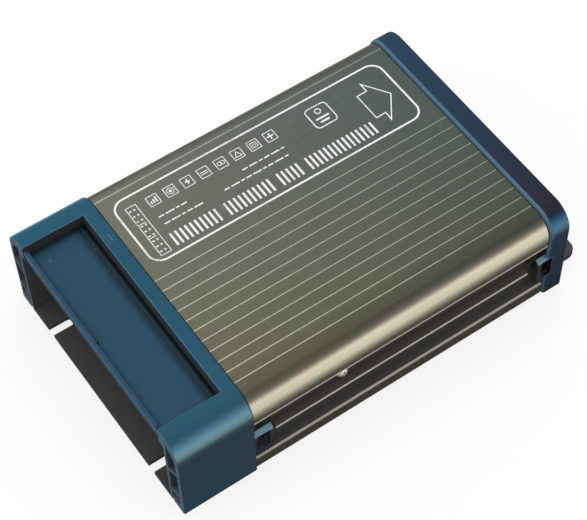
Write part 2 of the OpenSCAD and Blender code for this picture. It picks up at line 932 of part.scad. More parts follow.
// Square washers with two turned-up edges that keep a wire under the screw
module terminal_clamps() {
    low = term_base_top + contact_t;
    half = 3.3;
    edge_t = 0.6;
    edge_h = 1.7;
    color(steel)
        for (y = term_places())
            difference() {
                union() {
                    translate([term_screw_x, y, low])
                        block([-half, -half, 0], [half, half, clamp_t]);
                    for (side = [0, 1])
                        translate([term_screw_x, y, low])
                            mirror([0, side, 0])
                                block([-half, half - edge_t, 0], [half, half, edge_h]);
                }
                translate([term_screw_x, y, low - 1])
                    cylinder(h = clamp_t + 2, r = term_screw_r);
            }
}

module terminal_screws() {
    seat = term_base_top + contact_t + clamp_t;
    reach = seat - board_top - term_floor_t - 0.6;
    color(steel)
        for (y = term_places())
            translate([term_screw_x, y, seat])
                pan_screw(term_screw_r - thread_gap, reach, term_head_r, term_head_h);
}

module trimmer_body() {
    color("royalblue")
        translate(trimmer_at)
            difference() {
                translate([-trimmer_size / 2, -trimmer_size / 2, 0])
                    cube([trimmer_size, trimmer_size, trimmer_h]);
                translate([0, 0, rotor_low])
                    cylinder(h = trimmer_h, r = rotor_r + rotor_gap);
            }
}

// Adjuster of the output voltage, with a slot for a screwdriver and a pointer
module trimmer_rotor() {
    color("white")
        translate(trimmer_at)
            difference() {
                translate([0, 0, rotor_low + rotor_lift])
                    cylinder(h = trimmer_h - rotor_low - rotor_lift + rotor_proud, r = rotor_r);
                translate([-rotor_slot_l / 2, -rotor_slot_w / 2, trimmer_h - 0.5])
                    cube([rotor_slot_l, rotor_slot_w, 2]);
                translate([-rotor_slot_w / 2, -rotor_slot_w / 2, trimmer_h - 0.5])
                    cube([rotor_slot_w, 0.6 * rotor_slot_l, 2]);
            }
}

module indicator_lamp() {
    color([0.3, 0.85, 0.4])
        translate(lamp_at)
            rotate_extrude()
                union() {
                    square([lamp_r + 0.4, 1]);
                    square([lamp_r, lamp_h]);
                    translate([0, lamp_h])
                        intersection() {
                            circle(lamp_r);
                            square(lamp_r);
                        }
                }
}

// Rod along X
module rod_x(at, r, length) {
    translate(at)
        rotate([0, 90, 0])
            cylinder(h = length, r = r);
}

module fuse_tube() {
    color([0.8, 0.9, 0.9, 0.6])
        rod_x(fuse_at - [fuse_l / 2 - fuse_cap_l, 0, 0], fuse_r - 0.3, fuse_l - 2 * fuse_cap_l);
}

module fuse_end_caps() {
    color(steel)
        for (x = [-fuse_l / 2, fuse_l / 2 - fuse_cap_l])
            rod_x(fuse_at + [x, 0, 0], fuse_r, fuse_cap_l);
}

// Spring clips that hold the fuse's end caps and are open at the top
module fuse_clips() {
    clip_t = 0.6;
    clip_h = 1.4;
    clip_gap = 0.02;
    set_back = 0.4;
    color(steel)
        for (x = [-fuse_l / 2 + set_back, fuse_l / 2 - fuse_cap_l + set_back])
            translate([fuse_at.x + x, fuse_at.y, 0])
                difference() {
                    block([0, -fuse_r - clip_t, board_top],
                          [fuse_cap_l - 2 * set_back, fuse_r + clip_t, fuse_at.z + clip_h]);
                    rod_x([-1, 0, fuse_at.z], fuse_r + clip_gap, fuse_cap_l + 2);
                    block([-1, -fuse_r + 0.3, fuse_at.z], [fuse_cap_l, fuse_r - 0.3, fuse_at.z + fuse_r]);
                }
}

// Disc component that stands on two leads
module disc(at, r, thick, lift) {
    lead_r = 0.45;
    lead_pitch = 5;
    translate(at) {
        translate([-thick / 2, 0, r + lift])
            rotate([0, 90, 0])
                cylinder(h = thick, r = r);
        for (side = [-1, 1])
            translate([0, side * lead_pitch / 2, 0])
                cylinder(h = lift + 1.2, r = lead_r);
    }
}

module inrush_thermistor() {
    color([0.12, 0.22, 0.16])
        disc(thermistor_at, thermistor_r, thermistor_t, lift = 2.5);
}

module line_capacitor() {
    color("goldenrod")
        round_box(line_cap_at, line_cap_at + [line_cap_l, line_cap_w, line_cap_h], 1);
}

module line_choke_base() {
    half = [choke_base_l, choke_base_w, 0] / 2;
    color("black")
        round_box(line_choke_at - half, line_choke_at + half + [0, 0, choke_base_h], 2);
}

// Middle of the ring that stands on the choke's base
line_ring_at = line_choke_at + [0, 0, choke_base_h + line_ring_r + line_core_r + 2 * line_wire_r];

module line_choke_core() {
    color("darkgreen")
        translate(line_ring_at)
            rotate([0, 90, 0])
                ring(line_ring_r, line_core_r);
}

module ring(ring_r, core_r) {
    rotate_extrude()
        translate([ring_r, 0])
            circle(core_r);
}

// One turn of wire round a ring core
module turn(ring_r, core_r, wire_r, angle) {
    rotate(angle)
        translate([ring_r, 0, 0])
            rotate([90, 0, 0])
                rotate_extrude()
                    translate([core_r + wire_r, 0])
                        circle(wire_r, $fn = 24);
}

// Two equal windings on opposite halves of the ring
module line_choke_windings() {
    color(copper)
        translate(line_ring_at)
            rotate([0, 90, 0])
                for (half = [0, 180], i = [0 : line_turns - 1])
                    turn(line_ring_r, line_core_r, line_wire_r,
                         half + (i - (line_turns - 1) / 2) * line_turn_step);
}

module safety_capacitors() {
    color("cornflowerblue")
        for (step = [0, 1])
            disc(safety_cap_at + [0, safety_cap_pitch * step, 0], safety_cap_r, safety_cap_t, lift = 2);
}

// Power device that stands against a side wall, with its back at y zero and its front towards the middle
module power_device(w, t, body_low, body_h, tab_top, lead_n) {
    block([-w / 2, -t, body_low], [w / 2, 0, body_low + body_h]);
    block([-w / 2, -device_metal_t, body_low + 1], [w / 2, 0, tab_top]);
    for (i = [0 : lead_n - 1])
        translate([(i - (lead_n - 1) / 2) * (w - 3) / (lead_n - 1), -t + 1, 0])
            block([-lead_w / 2, 0, 0], [lead_w / 2, lead_t, body_low + 1]);
}

module switching_transistors() {
    color(black)
        for (step = [1.6, 0.3])
            translate([primary_screw_x - head_r - switch_w / 2 - step * switch_w, cav_hw - pad_t, board_top])
                power_device(switch_w, primary_t, switch_low, switch_h, switch_tab_h, lead_n = 3);
}

module bridge_rectifier() {
    color(black)
        translate([primary_screw_x + bridge_w / 2 + screw_r + device_gap, cav_hw - pad_t, board_top])
            power_device(bridge_w, primary_t, device_low, device_h, bridge_tab_h, lead_n = 4);
}

module output_rectifiers() {
    color(black)
        for (side = [-1, 1])
            translate([screw_x + side * rectifier_off, pad_t - cav_hw, board_top])
                mirror([0, 1, 0])
                    power_device(rectifier_w, output_t, device_low, device_h, rectifier_tab_h, lead_n = 3);
}

// Insulating pad on the inside of the wall at the high side, with a hole for its screw
module wall_pad(x_screw, x_from, x_to) {
    difference() {
        block([x_from, cav_hw - pad_t, board_top + pad_low], [x_to, cav_hw, crown_lip_z + 1]);
        rod_y([x_screw, cav_hw - 2, side_screw_z], screw_r + 0.2, 4);
    }
}

module primary_pad() {
    color("lightgray")
        wall_pad(primary_screw_x, primary_screw_x - 2.8 * switch_w, primary_screw_x + bridge_w + 5);
}

module output_pad() {
    color("lightgray")
        mirror([0, 1, 0])
            wall_pad(screw_x, screw_x - rectifier_w - 4.2, screw_x + rectifier_w + 4.2);
}

// Bar that presses the devices on the wall, with a threaded hole for its side screw
module clamp_bar(x_screw, half_l, device_t) {
    y_from = cav_hw - pad_t - device_t - bar_t;
    difference() {
        block([x_screw - half_l, y_from, side_screw_z - bar_h / 2],
              [x_screw + half_l, y_from + bar_t, side_screw_z + bar_h / 2]);
        rod_y([x_screw, y_from - 1, side_screw_z], screw_r + thread_gap, bar_t + 2);
    }
}

module primary_clamp_bar() {
    color("gainsboro")
        clamp_bar(primary_screw_x, bridge_w + 4, primary_t);
}

module output_clamp_bar() {
    color("gainsboro")
        mirror([0, 1, 0])
            clamp_bar(screw_x, rectifier_w + 3.2, output_t);
}

// Upright can with a rolled groove near its foot and a sunk top inside its rim
module can(at, r, h) {
    bead = 0.5;
    rim = 0.7;
    sink = 0.3;
    translate(at)
        rotate_extrude()
            polygon([[0, 0], [r - bead, 0], [r, bead], [r, 0.22 * r], [r - bead, 0.28 * r], [r, 0.34 * r],
                     [r, h - rim], [r - rim, h], [r - 2 * rim, h], [r - 2 * rim - sink, h - sink],
                     [0, h - sink]]);
}

module bulk_capacitors() {
    color([0.1, 0.12, 0.2])
        for (step = [0, 1])
            can(bulk_cap_at + [0, bulk_cap_pitch * step, 0], bulk_cap_r, cav_top - board_top - bulk_cap_room);
}

module output_capacitors() {
    color([0.15, 0.1, 0.1])
        for (i = [0 : output_cap_n - 1])
            can(output_cap_at + [0, output_cap_pitch * i, 0], output_cap_r, output_cap_h);
}

module small_capacitors() {
    color([0.1, 0.12, 0.2])
        for (i = [0 : 2])
            can(small_cap_at + [small_cap_pitch * i, 0, 0], small_cap_r, small_cap_h);
}

// Width of each of the two windows of a ferrite frame
function core_window(w, leg) = w / 2 - leg;

// Ferrite frame made of two E-shaped halves, with its middle leg upright
module e_core(at, w, thick, h, leg) {
    window = core_window(w, leg);
    translate(at)
        difference() {
            block([-thick / 2, -w / 2, 0], [thick / 2, w / 2, h]);
            for (side = [0, 1])
                mirror([0, side, 0])
                    block([-thick / 2 - 1, leg / 2, leg / 2], [thick / 2 + 1, leg / 2 + window, h - leg / 2]);
        }
}

module main_transformer_core() {
    color("dimgray")
        e_core(main_at, main_w, main_thick, main_h, main_leg);
}

// Former with two flanges, a tube round the middle leg and two rows of feet
module main_transformer_bobbin() {
    half_y = main_leg / 2 + core_window(main_w, main_leg) - 0.3;
    half_x = main_thick / 2 + main_bulge + 1;
    low = main_leg / 2;
    high = main_h - main_leg / 2;
    tube = [main_thick, main_leg] / 2 + [main_tube_t, main_tube_t];
    inner = [main_thick, main_leg] / 2 + [core_gap, core_gap];
    foot_l = 3;
    color("saddlebrown")
        translate(main_at)
            difference() {
                union() {
                    for (z = [low + core_gap, high - main_flange - core_gap])
                        block([-half_x, -half_y, z], [half_x, half_y, z + main_flange]);
                    block([-tube.x, -tube.y, low + core_gap], [tube.x, tube.y, high - core_gap]);
                    for (side = [0, 1])
                        mirror([side, 0, 0])
                            block([half_x - foot_l, -half_y, -main_lift], [half_x, half_y, low + 1]);
                }
                block([-inner.x, -inner.y, 0], [inner.x, inner.y, main_h]);
            }
}

module main_transformer_winding() {
    half_y = main_leg / 2 + core_window(main_w, main_leg) - 0.6;
    half_x = main_thick / 2 + main_bulge;
    low = main_leg / 2 + core_gap + main_flange;
    high = main_h - low;
    tube = [main_thick, main_leg] / 2 + [main_tube_t, main_tube_t];
    color("gold")
        translate(main_at)
            difference() {
                round_box([-half_x, -half_y, low], [half_x, half_y, high], 4);
                block([-tube.x, -tube.y, 0], [tube.x, tube.y, main_h]);
            }
}

module driver_transformer_core() {
    color("dimgray")
        e_core(driver_at, driver_w, driver_thick, driver_h, driver_leg);
}

module driver_transformer_coil() {
    gap = 0.15;
    window = core_window(driver_w, driver_leg);
    half = [driver_thick / 2 + driver_bulge, driver_leg / 2 + window - gap, 0];
    inner = [driver_thick / 2 + core_gap, driver_leg / 2 + core_gap];
    color("khaki")
        translate(driver_at)
            difference() {
                round_box(-half + [0, 0, driver_leg / 2 + gap],
                          half + [0, 0, driver_h - driver_leg / 2 - gap], 2.5);
                block([-inner.x, -inner.y, 0], [inner.x, inner.y, driver_h]);
            }
}

module output_choke_core() {
    color([0.85, 0.8, 0.45])
        translate(output_choke_at + [0, 0, output_core_r + 2 * output_wire_r])
            ring(output_ring_r, output_core_r);
}

module output_choke_winding() {
    color(copper)
        translate(output_choke_at + [0, 0, output_core_r + 2 * output_wire_r])
            for (i = [0 : output_turns - 1])
                turn(output_ring_r, output_core_r, output_wire_r, output_first_turn + i * output_turn_step);
}

// Chip with two rows of pins
module dip(at, length, pins) {
    pin_pitch = 2.54;
    half_w = 3.2;
    pin_w = 0.7;
    pin_t = 1.1;
    translate(at) {
        block([-length / 2, -half_w, 1], [length / 2, half_w, 4.4]);
        for (i = [0 : pins - 1], side = [0, 1])
            mirror([0, side, 0])
                translate([(i - (pins - 1) / 2) * pin_pitch, half_w - 0.05, 0])
                    block([-pin_w / 2, 0, 0], [pin_w / 2, pin_t, 2.6]);
    }
}

module controller_chip() {
    color(black)
        dip(controller_at, controller_l, 7);
}

module optocoupler() {
    color(black)
        dip(optocoupler_at, optocoupler_l, 2);
}

// Wire bridges of a known resistance in the output path
module sense_shunts() {
    half = shunt_span / 2;
    color(copper)
        for (step = [0, 1])
            translate(shunt_at + [shunt_pitch * step, 0, 0])
                difference() {
                    block([-shunt_wire / 2, -half, 0], [shunt_wire / 2, half, shunt_h]);
                    block([-shunt_wire, shunt_wire - half, -1],
                          [shunt_wire, half - shunt_wire, shunt_h - shunt_wire]);
                }
}

// Resistors that lie on two bent leads beside the bulk capacitors
module bleeder_resistors() {
    color("tan")
        for (step = [0, 1])
            translate(bleeder_at + [0, bleeder_pitch * step, 0]) {
                rod_x([-bleeder_l / 2, 0, bleeder_lift], bleeder_r, bleeder_l);
                rod_x([-bleeder_span / 2, 0, bleeder_lift], bleeder_lead_r, bleeder_span);
                for (side = [-1, 1])
                    translate([side * bleeder_span / 2, 0, 0])
                        cylinder(h = bleeder_lift + bleeder_lead_r, r = bleeder_lead_r);
            }
}

housing_extrusion();
mounting_plate();
terminal_end_cap();
upper_end_cap();
terminal_cover();
terminal_end_seal();
upper_end_seal();
side_screws();
plate_screws();
insulating_sheet();
main_board();
terminal_block();
terminal_contacts();
terminal_clamps();
terminal_screws();
trimmer_body();
trimmer_rotor();
indicator_lamp();
fuse_tube();
fuse_end_caps();
fuse_clips();
inrush_thermistor();
line_capacitor();
line_choke_base();
line_choke_core();
line_choke_windings();
safety_capacitors();
bridge_rectifier();
switching_transistors();
primary_pad();
primary_clamp_bar();
bulk_capacitors();
driver_transformer_core();
driver_transformer_coil();
main_transformer_core();
main_transformer_bobbin();
main_transformer_winding();
output_rectifiers();
output_pad();
output_clamp_bar();
output_choke_core();
output_choke_winding();
output_capacitors();
controller_chip();
optocoupler();
small_capacitors();
sense_shunts();
bleeder_resistors();
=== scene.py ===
"""Looks of a rain-proof switching power supply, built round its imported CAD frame.

The frame lies on its mounting plate: +X runs from the terminals to the plain upper end, +Y runs
across and +Z points up. Pieces are modelled in millimetres and brought to metres when finished.
"""

import logging
import math
from dataclasses import dataclass, field
from enum import Enum
from itertools import cycle
from typing import Callable, Iterable, Optional, Sequence

import bmesh
import bpy
from mathutils import Matrix, Vector


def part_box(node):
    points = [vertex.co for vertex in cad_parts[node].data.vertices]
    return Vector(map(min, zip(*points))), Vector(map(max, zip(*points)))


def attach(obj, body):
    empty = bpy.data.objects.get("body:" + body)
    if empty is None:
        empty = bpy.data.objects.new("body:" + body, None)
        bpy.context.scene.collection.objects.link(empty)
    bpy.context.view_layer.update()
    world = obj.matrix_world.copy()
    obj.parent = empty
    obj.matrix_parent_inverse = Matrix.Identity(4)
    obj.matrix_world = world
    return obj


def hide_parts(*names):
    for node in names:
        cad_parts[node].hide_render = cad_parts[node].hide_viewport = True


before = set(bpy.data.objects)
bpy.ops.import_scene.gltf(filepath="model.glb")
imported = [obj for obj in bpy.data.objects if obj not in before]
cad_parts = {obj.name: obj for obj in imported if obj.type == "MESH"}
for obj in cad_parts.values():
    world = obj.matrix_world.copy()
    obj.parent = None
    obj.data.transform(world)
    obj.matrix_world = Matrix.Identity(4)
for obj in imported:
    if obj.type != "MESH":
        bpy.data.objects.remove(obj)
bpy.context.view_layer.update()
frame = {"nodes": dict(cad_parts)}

LOG = logging.getLogger("power_supply")
MM = 0.001
NEAR = 0.02
EDGE_ANGLE = math.radians(35.0)
SMOOTH_ANGLE = math.radians(40.0)

Colour = tuple[float, float, float]
Point = tuple[float, float, float]
Span = tuple[float, float]
Outline = tuple[float, float, float, float]  # half width, bottom, top and corner radius of an arch
Box = tuple[float, float, float, float]  # lowest X and Y, highest X and Y
Test = Callable[[object], bool]
Solid = bpy.types.Object
Material = bpy.types.Material
Socket = bpy.types.NodeSocket
Edge = bmesh.types.BMEdge
Face = bmesh.types.BMFace


# Modelling bench


class Element(Enum):
    """What a selection in edit mode picks."""

    VERTEX = "VERT"
    EDGE = "EDGE"
    FACE = "FACE"


class Meeting(Enum):
    """What becomes of one solid where another meets it."""

    CUT = "DIFFERENCE"
    FUSE = "UNION"


class Axis(Enum):
    """Direction that a drum lies along, as the turn that takes it from Z."""

    Y = (math.pi / 2, 0.0, 0.0)
    Z = (0.0, 0.0, 0.0)
    Y_BACK = (-math.pi / 2, 0.0, 0.0)


@dataclass(frozen=True)
class Extent:
    """Lowest and highest corner of a CAD node, in millimetres."""

    low: Vector
    high: Vector

    @classmethod
    def of(cls, node: str) -> "Extent":
        """Reads the extent of a node from the frame."""
        low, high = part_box(node)
        return cls(low / MM, high / MM)


def clear_selection() -> None:
    """Leaves edit mode and deselects everything."""
    if bpy.context.object and bpy.context.object.mode != "OBJECT":
        bpy.ops.object.mode_set(mode="OBJECT")
    bpy.ops.object.select_all(action="DESELECT")


def take(piece: Solid) -> None:
    """Makes one piece the active and only selected one.

    Args:
        piece: The piece to take.
    """
    clear_selection()
    piece.select_set(True)
    bpy.context.view_layer.objects.active = piece


def settle(name: str) -> Solid:
    """Names the primitive that was just added and puts its place into its mesh.

    Args:
        name: Name of the piece.

    Returns:
        The piece.
    """
    piece = bpy.context.object
    piece.name = name
    piece.data.name = name
    bpy.ops.object.transform_apply(location=True, rotation=True, scale=True)
    return piece


def block(name: str, low: Point, high: Point) -> Solid:
    """Adds a box between two corners, as the start of a piece.

    Args:
        name: Name of the piece.
        low: Lowest corner.
        high: Highest corner.

    Returns:
        The box.
    """
    clear_selection()
    low_corner, high_corner = Vector(low), Vector(high)
    bpy.ops.mesh.primitive_cube_add(size=1.0, location=(low_corner + high_corner) / 2,
                                    scale=high_corner - low_corner)
    return settle(name)


def drum(name: str, centre: Point, radius: float, length: float, axis: Axis, sides: int = 48,
         far_radius: Optional[float] = None) -> Solid:
    """Adds a cylinder or a cone, as the start of a piece.

    Args:
        name: Name of the piece.
        centre: Middle of its axis.
        radius: Radius at its low end.
        length: Length along its axis.
        axis: Direction that it lies along.
        sides: Number of sides.
        far_radius: Radius at its high end, where it is a cone.

    Returns:
        The drum.
    """
    clear_selection()
    bpy.ops.mesh.primitive_cone_add(
        vertices=sides, radius1=radius, radius2=radius if far_radius is None else far_radius,
        depth=length, location=centre, rotation=axis.value)
    return settle(name)


def start_edit(piece: Solid) -> None:
    """Opens a piece in edit mode with nothing selected.

    Args:
        piece: The piece to edit.
    """
    take(piece)
    bpy.ops.object.mode_set(mode="EDIT")
    bpy.ops.mesh.select_all(action="DESELECT")


def pick(element: Element, wanted: Test) -> None:
    """Selects elements of the piece in edit mode by their place or direction.

    Args:
        element: Kind of element.
        wanted: Says of an element whether it is picked.
    """
    bpy.ops.mesh.select_mode(type=element.value)
    bpy.ops.mesh.select_all(action="DESELECT")
    mesh = bmesh.from_edit_mesh(bpy.context.object.data)
    parts = {Element.VERTEX: mesh.verts, Element.EDGE: mesh.edges, Element.FACE: mesh.faces}[element]
    for part in [part for part in parts if wanted(part)]:
        part.select_set(True)
    mesh.select_flush_mode()
    bmesh.update_edit_mesh(bpy.context.object.data)


def middle(part: "Edge | Face") -> Vector:
    """Middle of an edge or of a face."""
    if isinstance(part, Face):
        return part.calc_center_median()
    return (part.verts[0].co + part.verts[1].co) / 2


def runs_along(edge: Edge, direction: Point) -> bool:
    """Whether an edge runs along a direction."""
    return abs((edge.verts[1].co - edge.verts[0].co).normalized().dot(Vector(direction))) > 0.999


def round_edges(piece: Solid, wanted: Test, radius: float, steps: int) -> None:
    """Rounds the picked edges of a piece.

    Args:
        piece: The piece.
        wanted: Says of an edge whether it is rounded.
        radius: Radius, or width of the bevel where there is one step.
        steps: Number of steps in the round.
    """
    start_edit(piece)
    pick(Element.EDGE, wanted)
    bpy.ops.mesh.bevel(offset=radius, offset_type="OFFSET", segments=steps, profile=0.5,
                       affect="EDGES", clamp_overlap=False)
    clear_selection()


def score(wanted: Test, through: Point, normal: Point) -> None:
    """Draws a line across the picked faces of the piece in edit mode."""
    pick(Element.FACE, wanted)
    bpy.ops.mesh.bisect(plane_co=through, plane_no=normal, threshold=0.0005)


def draw_out(wanted: Test, shift: Point) -> None:
    """Extrudes the picked faces of the piece in edit mode."""
    pick(Element.FACE, wanted)
    bpy.ops.mesh.extrude_region_move(TRANSFORM_OT_translate={"value": shift})


def push(piece: Solid, wanted: Test, shift: Point) -> None:
    """Moves the picked corners of a piece.

    Args:
        piece: The piece.
        wanted: Says of a corner whether it moves.
        shift: How far and which way.
    """
    start_edit(piece)
    pick(Element.VERTEX, wanted)
    bpy.ops.transform.translate(value=shift)
    clear_selection()


def modify(piece: Solid, kind: str, **settings: object) -> Solid:
    """Adds a modifier to a piece and applies it.

    Args:
        piece: The piece.
        kind: Kind of the modifier.
        **settings: Value of each of its settings.

    Returns:
        The piece.
    """
    take(piece)
    bpy.ops.object.modifier_add(type=kind)
    modifier = piece.modifiers[-1]
    for name, value in settings.items():
        setattr(modifier, name, value)
    bpy.ops.object.modifier_apply(modifier=modifier.name)
    return piece


def meet(piece: Solid, other: Solid, meeting: Meeting = Meeting.CUT) -> Solid:
    """Cuts another solid out of a piece or fuses it to the piece, and uses it up.

    Args:
        piece: The piece that stays.
        other: The solid that meets it.
        meeting: What becomes of the piece.

    Returns:
        The piece.
    """
    modify(piece, "BOOLEAN", object=other, operation=meeting.value, solver="EXACT")
    bpy.data.objects.remove(other)
    return piece


def repeat(piece: Solid, count: int, step: Point) -> Solid:
    """Repeats a piece in a row."""
    return modify(piece, "ARRAY", count=count, use_relative_offset=False, use_constant_offset=True,
                  constant_offset_displace=step)


def gather(piece: Solid, others: Iterable[Solid]) -> Solid:
    """Joins other solids to a piece.

    Args:
        piece: The piece that keeps its name.
        others: What is joined to it.

    Returns:
        The piece.
    """
    take(piece)
    for other in others:
        other.select_set(True)
    bpy.ops.object.join()
    return piece


def copy_to(piece: Solid, name: str, shift: Point, turn: Axis = Axis.Z) -> Solid:
    """Copies a solid with a mesh of its own.

    Args:
        piece: What is copied.
        name: Name of the copy.
        shift: Place of the copy's origin.
        turn: Turn of the copy, given as the axis that its Z comes to lie along.

    Returns:
        The copy.
    """
    take(piece)
    bpy.ops.object.duplicate(linked=False)
    twin = bpy.context.object
    twin.rotation_euler = turn.value
    twin.location = shift
    return settle(name)


def soften(piece: Solid, width: float, steps: int = 2) -> Solid:
    """Takes the sharpness off a piece's edges and evens its shading.

    Args:
        piece: The piece.
        width: Width of the edge rounds, or zero for none.
        steps: Steps in each round.

    Returns:
        The piece.
    """
    start_edit(piece)
    bpy.ops.mesh.select_all(action="SELECT")
    bpy.ops.mesh.remove_doubles(threshold=0.001)
    bpy.ops.mesh.dissolve_limited(angle_limit=math.radians(0.5), delimit={"MATERIAL"})
    if width:
        modify(piece, "BEVEL", width=width, segments=steps, limit_method="ANGLE", angle_limit=EDGE_ANGLE,
               miter_outer="MITER_ARC", use_clamp_overlap=True)
    take(piece)
    bpy.ops.object.shade_smooth_by_angle(angle=SMOOTH_ANGLE)
    return modify(piece, "WEIGHTED_NORMAL", keep_sharp=True, weight=80)


def tell_apart(piece: Solid, finishes: Sequence[Material],
               *tests: Test) -> Solid:
    """Gives a piece its materials, the first for all of it and the others for picked faces.

    Args:
        piece: The piece.
        finishes: Its materials.
        *tests: Says of a face whether it gets the second material, the third and so on.

    Returns:
        The piece.
    """
    for finish in finishes:
        piece.data.materials.append(finish)
    start_edit(piece)
    for number, wanted in enumerate(tests, 1):
        pick(Element.FACE, wanted)
        piece.active_material_index = number
        bpy.ops.object.material_slot_assign()
    clear_selection()
    return piece


def hand_over(piece: Solid, finishes: Sequence[Material], body: str,
              replaces: str = "") -> Solid:
    """Brings a finished piece to metres, dresses it and hangs it on its body.

    Args:
        piece: The piece, modelled in millimetres.
        finishes: Its materials, in the order of its material slots.
        body: CAD body that it moves with.
        replaces: CAD node that it stands for, if any.

    Returns:
        The piece.
    """
    take(piece)
    piece.scale = (MM, MM, MM)
    bpy.ops.object.transform_apply(location=True, rotation=True, scale=True)
    while len(piece.material_slots) < len(finishes):
        bpy.ops.object.material_slot_add()
    for place, finish in enumerate(finishes):
        piece.material_slots[place].material = finish
    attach(piece, body)
    if replaces:
        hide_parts(replaces)
    clear_selection()
    LOG.info("%s: %d faces on %s", piece.name, len(piece.data.polygons), body)
    return piece


# Finishes


@dataclass(frozen=True)
class Drift:
    """How a colour changes along one axis, at places in millimetres.

    The stops are factors on the colour, or colours of their own with the share that each takes.
    """

    axis: int
    stops: tuple[tuple[float, tuple[float, ...]], ...]
    own: bool = False


class Tree:
    """Node tree of a material or of the world, with short calls that add nodes and join them."""

    def __init__(self, tree: bpy.types.NodeTree) -> None:
        """Empties the tree."""
        self.tree = tree
        self.tree.nodes.clear()

    def add(self, kind: str, **inputs: "float | Socket") -> bpy.types.Node:
        """Adds a node.

        Args:
            kind: Kind of the node, without the words that all shader nodes start with.
            **inputs: Number or source for each input, with underscores for the spaces in its name.

        Returns:
            The node.
        """
        node = self.tree.nodes.new("ShaderNode" + kind)
        for name, value in inputs.items():
            self.join(value, node.inputs[name.replace("_", " ")])
        return node

    def join(self, source: "float | Colour | Socket", socket: Socket) -> None:
        """Feeds a socket from another one, or sets its plain value.

        Args:
            source: The source.
            socket: The socket.
        """
        if isinstance(source, Socket):
            self.tree.links.new(source, socket)
        elif isinstance(source, tuple) and socket.type == "RGBA":
            socket.default_value = (*source, 1.0)
        else:
            socket.default_value = source

    def levels(self, value: Socket, low: float, high: float, to_low: float = 0.0,
               to_high: float = 1.0) -> Socket:
        """Maps a range of a value to another range, and clamps it there."""
        return self.add("MapRange", From_Min=low, From_Max=high, To_Min=to_low, To_Max=to_high,
                        Value=value).outputs["Result"]

    def both(self, first: Socket, second: "Socket | float", how: str = "MULTIPLY") -> Socket:
        """Combines two values.

        Args:
            first: The first value.
            second: The second value.
            how: Name of the operation.

        Returns:
            The result.
        """
        node = self.add("Math")
        node.operation = how
        self.join(first, node.inputs[0])
        self.join(second, node.inputs[1])
        return node.outputs["Value"]

    def tint(self, amount: "Socket | float", first: "Colour | Socket", second: "Colour | Socket",
             how: str = "MIX") -> Socket:
        """Mixes two colours.

        Args:
            amount: Share of the second colour.
            first: Colour where the amount is zero.
            second: Colour where the amount is one.
            how: Way of mixing.

        Returns:
            The mixed colour.
        """
        node = self.add("Mix")
        node.data_type = "RGBA"
        node.blend_type = how
        for place, source in ((0, amount), (6, first), (7, second)):
            self.join(source, node.inputs[place])
        return node.outputs[2]


class Graph(Tree):
    """Node tree of one material round a principled shader."""

    def __init__(self, name: str) -> None:
        """Starts a material with a principled shader and object coordinates.

        Args:
            name: Name of the material.
        """
        self.material = bpy.data.materials.new(name)
        self.material.use_nodes = True
        super().__init__(self.material.node_tree)
        self.shader = self.add("BsdfPrincipled")
        self.add("OutputMaterial", Surface=self.shader.outputs["BSDF"])
        self.place = self.add("TexCoord").outputs["Object"]

    def stretch(self, scale: Point, turn: Point = (0.0, 0.0, 0.0)) -> Socket:
        """Object coordinates, scaled and turned."""
        return self.add("Mapping", Scale=scale, Rotation=turn, Vector=self.place).outputs["Vector"]

    def noise(self, at: Socket, scale: float, detail: float = 2.0, rough: float = 0.5,
              swirl: float = 0.0) -> Socket:
        """Soft noise from zero to one."""
        return self.add("TexNoise", Vector=at, Scale=scale, Detail=detail, Roughness=rough,
                        Distortion=swirl).outputs["Fac"]

    def cells(self, at: Socket, scale: float, feature: str = "F1") -> Socket:
        """Distance to the nearest of scattered points.

        Args:
            at: Coordinates.
            scale: Points per unit.
            feature: Which distance is measured.

        Returns:
            The distance.
        """
        node = self.add("TexVoronoi")
        node.feature = feature
        self.join(at, node.inputs["Vector"])
        self.join(scale, node.inputs["Scale"])
        return node.outputs["Distance"]

    def drift(self, colour: Socket, drifts: Sequence[Drift]) -> Socket:
        """Changes a colour steadily along one or more axes.

        Args:
            colour: The colour.
            drifts: How it changes along each of them.

        Returns:
            The changed colour.
        """
        for change in drifts:
            start, end = change.stops[0][0], change.stops[-1][0]
            spot = self.add("SeparateXYZ", Vector=self.place).outputs[change.axis]
            ramp = self.add("ValToRGB", Fac=self.levels(spot, start * MM, end * MM))
            marks = ramp.color_ramp.elements
            for place, _ in change.stops[1:-1]:
                marks.new((place - start) / (end - start))
            for mark, (_, shade) in zip(marks, change.stops):
                mark.color = (*shade, 1.0)[:4]
            share, how = (ramp.outputs["Alpha"], "MIX") if change.own else (1.0, "MULTIPLY")
            colour = self.tint(share, colour, ramp.outputs["Color"], how)
        return colour

    def relief(self, height: Socket, depth: float, strength: float = 1.0,
               under: Optional[Socket] = None) -> Socket:
        """Turns a height into a bumped normal.

        Args:
            height: The height, from zero to one.
            depth: Height difference in metres.
            strength: Strength of the effect.
            under: Normal that this relief lies on.

        Returns:
            The normal.
        """
        node = self.add("Bump", Distance=depth, Strength=strength, Height=height)
        if under is not None:
            self.join(under, node.inputs["Normal"])
        return node.outputs["Normal"]

    def dress(self, colour: Socket, rough: "Socket | float", normal: Optional[Socket] = None,
              **values: "Socket | float") -> Material:
        """Feeds the shader's own sockets.

        Args:
            colour: Source of the base colour.
            rough: Roughness, or its source.
            normal: Source of the normal, where it is bumped.
            **values: Number or source for each other socket, with underscores for the spaces in its name.

        Returns:
            The material.
        """
        sources = {"Base_Color": colour, "Roughness": rough, **values}
        if normal is not None:
            sources["Normal"] = normal
        for name, source in sources.items():
            self.join(source, self.shader.inputs[name.replace("_", " ")])
        return self.material


